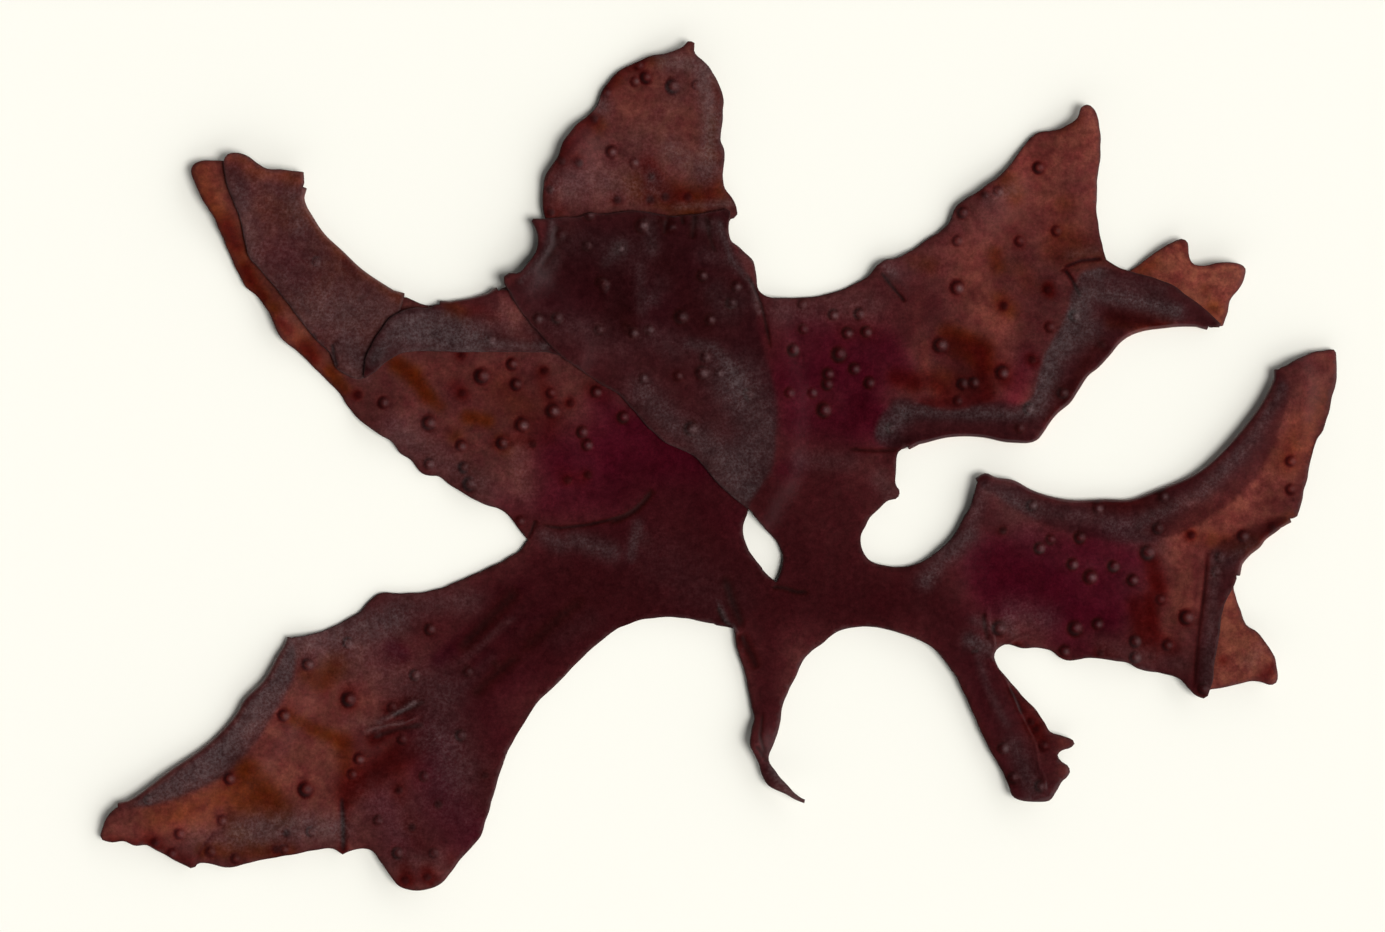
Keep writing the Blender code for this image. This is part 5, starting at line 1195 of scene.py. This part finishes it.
# ---------------------------------------------------------------- material
def tissue_material():
    mat = bpy.data.materials.new("thallus_tissue")
    mat.use_nodes = True
    tree = mat.node_tree
    nodes, links = tree.nodes, tree.links
    shader = nodes["Principled BSDF"]

    def node(kind, **props):
        made = nodes.new(kind)
        for k, v in props.items():
            setattr(made, k, v)
        return made

    def feed(socket, value):
        if isinstance(value, bpy.types.NodeSocket):
            links.new(value, socket)
        else:
            socket.default_value = value

    def attr(name):
        return node("ShaderNodeAttribute", attribute_name=name).outputs["Fac"]

    def maths(op, a, b=0.0, c=0.0, clamp=False):
        made = node("ShaderNodeMath", operation=op, use_clamp=clamp)
        feed(made.inputs[0], a)
        feed(made.inputs[1], b)
        feed(made.inputs[2], c)
        return made.outputs[0]

    def mix(factor, a, b):
        made = node("ShaderNodeMix", data_type="RGBA", clamp_factor=True)
        feed(made.inputs["Factor"], factor)
        for socket, value in ((made.inputs[6], a), (made.inputs[7], b)):
            feed(socket, (*value, 1.0) if isinstance(value, tuple) else value)
        return made.outputs[2]

    def soak(factor, colour, pigment):
        """Colour soaked with a pigment, and darkened the same way where shade is painted: as much of it as the factor
        says, mixed the way that dyes mix.
        """
        parts = []
        for value, share in ((colour, maths("SUBTRACT", 1.0, factor, clamp=True)), (pigment, factor)):
            made = node("ShaderNodeVectorMath", operation="POWER")
            feed(made.inputs[0], value)
            links.new(share, made.inputs[1])
            parts.append(made.outputs[0])
        made = node("ShaderNodeVectorMath", operation="MULTIPLY")
        links.new(parts[0], made.inputs[0])
        links.new(parts[1], made.inputs[1])
        return made.outputs[0]

    coord = node("ShaderNodeTexCoord").outputs["Object"]

    def noise(per_mm, detail, rough=0.55, shift=0.0):
        where = node("ShaderNodeMapping")
        links.new(coord, where.inputs["Vector"])
        where.inputs["Location"].default_value = (shift, shift * 0.7, 0.0)
        where.inputs["Scale"].default_value = (1000.0 * per_mm,) * 3
        made = node("ShaderNodeTexNoise", noise_dimensions="3D")
        links.new(where.outputs[0], made.inputs["Vector"])
        made.inputs["Scale"].default_value = 1.0
        made.inputs["Detail"].default_value = detail
        made.inputs["Roughness"].default_value = rough
        return made.outputs["Fac"]

    broad = noise(0.16, 3.0, 0.5)
    cloud = noise(0.45, 4.0, 0.55, 3.1)
    mottle = noise(1.6, 4.0, 0.6, 7.7)
    grain = noise(4.6, 3.0, 0.75, 11.3)
    fleck = noise(4.2, 2.0, 0.5, 19.9)

    def ragged(name, swing, by, fall=1.0):
        """A painted mark, with its edge broken up by a noise."""
        a = attr(name)
        if fall != 1.0:
            a = maths("POWER", a, fall)
        wob = maths("MULTIPLY_ADD", by, swing, 1.0 - swing * 0.5)
        return maths("MULTIPLY", a, wob, clamp=True)

    colour = mix(maths("MULTIPLY_ADD", broad, 1.6, -0.45, clamp=True), (0.053, 0.0138, 0.0130), (0.073, 0.0188, 0.0165))
    colour = mix(ragged("pale", 0.7, cloud), colour, (0.195, 0.0535, 0.0325))
    colour = soak(ragged("orange", 1.2, cloud, 1.35), colour, (0.056, 0.0068, 0.0006))
    colour = soak(ragged("red", 1.0, cloud, 1.2), colour, (0.036, 0.0010, 0.0007))
    colour = soak(ragged("magenta", 0.7, cloud, 1.2), colour, (0.033, 0.0006, 0.0040))
    colour = soak(ragged("dark", 0.7, cloud, 1.2), colour, (0.0225, 0.0022, 0.0030))
    # the pigment lies in faint clouds, redder and deeper in some places
    drift = maths("MULTIPLY_ADD", noise(0.85, 4.0, 0.62, 27.3), 3.2, -1.30, clamp=True)
    colour = soak(maths("MULTIPLY", drift, 0.26), colour, (0.030, 0.0016, 0.0030))
    lay = maths("MULTIPLY", attr("layers"), 1.0, clamp=True)
    deep = node("ShaderNodeVectorMath", operation="MULTIPLY")
    links.new(colour, deep.inputs[0])
    deep.inputs[1].default_value = (0.50, 0.34, 0.42)
    colour = mix(maths("MULTIPLY", lay, 0.95), colour, deep.outputs[0])
    colour = mix(maths("MULTIPLY", lay, 0.16), colour, (0.0240, 0.0062, 0.0070))
    # painted highlight on the right side of each papilla, where the light falls
    papilla_highlight = ragged("papilla_highlight", 0.5, grain)
    colour = mix(papilla_highlight, colour, (0.080, 0.0450, 0.0470))
    # painted shade: the crescent on each papilla's left side and the dark line down each crease, with the dark red
    # spots
    colour = soak(ragged("painted_shade_and_spots", 0.3, mottle), colour, (0.0105, 0.0002, 0.0002))
    # darker along the rim: partly painted shade where the edge rounds over, partly the deeper colour of the thick edge
    colour = soak(maths("MULTIPLY", attr("margin"), 0.70), colour, (0.020, 0.0026, 0.0024))
    # painted sheen: a greyish gleam of light on the skin, broken up like fine salt
    sheen_speckle = maths("MULTIPLY_ADD", grain, 5.0, -2.00, clamp=True)
    patchy = maths("MULTIPLY_ADD", mottle, 1.4, -0.10, clamp=True)
    sheen_breakup = maths("MULTIPLY_ADD", maths("MULTIPLY", sheen_speckle, patchy), 1.15, 0.40)
    painted_sheen = maths("MULTIPLY", attr("painted_sheen"), sheen_breakup, clamp=True)
    colour = mix(maths("MULTIPLY", painted_sheen, 0.215), colour, (0.125, 0.123, 0.124))
    # fine mottling of the cells
    shade = maths("MULTIPLY_ADD", mottle, 1.3, 0.37)
    shade = maths("MULTIPLY", shade, maths("MULTIPLY_ADD", grain, 1.25, 0.40))
    shade = maths("MULTIPLY", shade, maths("MULTIPLY_ADD", cloud, 0.8, 0.60))
    scaled = node("ShaderNodeVectorMath", operation="SCALE")
    links.new(colour, scaled.inputs[0])
    links.new(shade, scaled.inputs["Scale"])
    links.new(scaled.outputs[0], shader.inputs["Base Color"])

    rough = maths("MULTIPLY_ADD", painted_sheen, 0.25, 0.26)
    rough = maths("ADD", rough, maths("MULTIPLY", mottle, 0.09))
    rough = maths("ADD", rough, maths("MULTIPLY", attr("painted_shade_and_spots"), 0.22))
    rough = maths("ADD", rough, maths("MULTIPLY", attr("margin"), 0.45), clamp=True)
    links.new(rough, shader.inputs["Roughness"])

    height = maths("ADD", maths("MULTIPLY", mottle, 0.55), maths("MULTIPLY", grain, 0.20))
    height = maths("ADD", height, maths("MULTIPLY", fleck, 0.25))
    bump = node("ShaderNodeBump")
    bump.inputs["Strength"].default_value = 0.12
    bump.inputs["Distance"].default_value = 0.00006
    links.new(height, bump.inputs["Height"])
    links.new(bump.outputs["Normal"], shader.inputs["Normal"])

    shader.inputs["Metallic"].default_value = 0.0
    shader.inputs["IOR"].default_value = 1.40
    shader.inputs["Specular IOR Level"].default_value = 0.32
    shader.inputs["Coat Weight"].default_value = 0.0
    shader.inputs["Coat Roughness"].default_value = 0.16
    return mat


def make_blade():
    verts, faces, marks = build_solid()
    verts = verts.copy()
    verts[:, 0] -= CENTRE[0] * UNIT
    verts[:, 1] += CENTRE[1] * UNIT
    verts[:, 2] = np.maximum(verts[:, 2], 0.0)
    mesh = bpy.data.meshes.new("thallus_blade")
    mesh.vertices.add(len(verts))
    mesh.vertices.foreach_set("co", (verts / 1000.0).astype(np.float32).ravel())
    mesh.loops.add(faces.size)
    mesh.loops.foreach_set("vertex_index", faces.astype(np.int32).ravel())
    mesh.polygons.add(len(faces))
    mesh.polygons.foreach_set("loop_start", np.arange(0, faces.size, 3, dtype=np.int32))
    mesh.polygons.foreach_set("loop_total", np.full(len(faces), 3, np.int32))
    mesh.update(calc_edges=True)
    mesh.shade_smooth()
    for name, values in marks.items():
        a = mesh.attributes.new(name, "FLOAT", "POINT")
        a.data.foreach_set("value", values.astype(np.float32))
    mesh.materials.append(tissue_material())
    obj = bpy.data.objects.new("thallus_blade", mesh)
    bpy.context.scene.collection.objects.link(obj)
    return obj


blade = make_blade()
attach(blade, "root")
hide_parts("thallus")


# ---------------------------------------------------------------- floor, light, camera
RING, RING_POWER = (0.42, 0.58), 1.93      # heights of the bright ring's top edge, and its strength
KEY_POWER = 2.60


def plain_floor():
    mesh = bpy.data.meshes.new("floor")
    s = 2.5
    mesh.from_pydata([(-s, -s, -0.00002), (s, -s, -0.00002), (s, s, -0.00002), (-s, s, -0.00002)], [], [(0, 1, 2, 3)])
    obj = bpy.data.objects.new("floor", mesh)
    bpy.context.scene.collection.objects.link(obj)
    mat = bpy.data.materials.new("floor")
    mat.use_nodes = True
    shader = mat.node_tree.nodes["Principled BSDF"]
    shader.inputs["Base Color"].default_value = (0.860, 0.851, 0.785, 1.0)
    shader.inputs["Roughness"].default_value = 0.95
    shader.inputs["Specular IOR Level"].default_value = 0.0
    mesh.materials.append(mat)


def sky():
    """A bright ring low all round, brighter on the right, and a dark ceiling for the wet skin to mirror."""
    world = bpy.data.worlds.new("studio")
    bpy.context.scene.world = world
    world.use_nodes = True
    nodes, links = world.node_tree.nodes, world.node_tree.links
    coord = nodes.new("ShaderNodeTexCoord")
    ramp = nodes.new("ShaderNodeValToRGB")
    lean = nodes.new("ShaderNodeVectorMath")
    lean.operation = "DOT_PRODUCT"
    links.new(coord.outputs["Generated"], lean.inputs[0])
    lean.inputs[1].default_value = (-0.26, 0.11, 1.0)
    links.new(lean.outputs["Value"], ramp.inputs[0])
    e = ramp.color_ramp.elements
    e[0].position, e[0].color = RING[0], (1.0, 1.0, 1.0, 1.0)
    e[1].position, e[1].color = RING[1], (0.0, 0.0, 0.0, 1.0)
    turn = nodes.new("ShaderNodeVectorMath")
    turn.operation = "DOT_PRODUCT"
    links.new(coord.outputs["Generated"], turn.inputs[0])
    turn.inputs[1].default_value = (0.90, -0.40, 0.0)
    side = nodes.new("ShaderNodeMath")
    side.operation = "MULTIPLY_ADD"
    side.inputs[1].default_value = 0.40 * RING_POWER
    side.inputs[2].default_value = 0.75 * RING_POWER
    links.new(turn.outputs["Value"], side.inputs[0])
    links.new(ramp.outputs[0], nodes["Background"].inputs["Color"])
    links.new(side.outputs[0], nodes["Background"].inputs["Strength"])


def key_light():
    data = bpy.data.lights.new("key", "SUN")
    data.energy = KEY_POWER
    data.angle = math.radians(30.0)
    data.color = (1.0, 0.99, 0.97)
    obj = bpy.data.objects.new("key", data)
    bpy.context.scene.collection.objects.link(obj)
    obj.rotation_mode = "QUATERNION"
    obj.rotation_quaternion = Vector((0.50, -0.22, 0.95)).to_track_quat("Z", "Y")
    obj.visible_glossy = False       # the skin mirrors the ring and not this light


plain_floor()
sky()
key_light()

cam = bpy.data.cameras.new("camera")
cam.type = "PERSP"
cam.sensor_width = 36.0
cam.lens = 150.0
cam.clip_start, cam.clip_end = 0.01, 20.0
camera = bpy.data.objects.new("camera", cam)
bpy.context.scene.collection.objects.link(camera)
camera.location = ((692.5 - CENTRE[0]) * UNIT / 1000.0, (CENTRE[1] - 466.0) * UNIT / 1000.0, 0.48905)
camera.rotation_euler = (0.0, 0.0, 0.0)
bpy.context.scene.camera = camera
bpy.context.scene.view_settings.view_transform = "Standard"
bpy.context.scene.view_settings.look = "None"
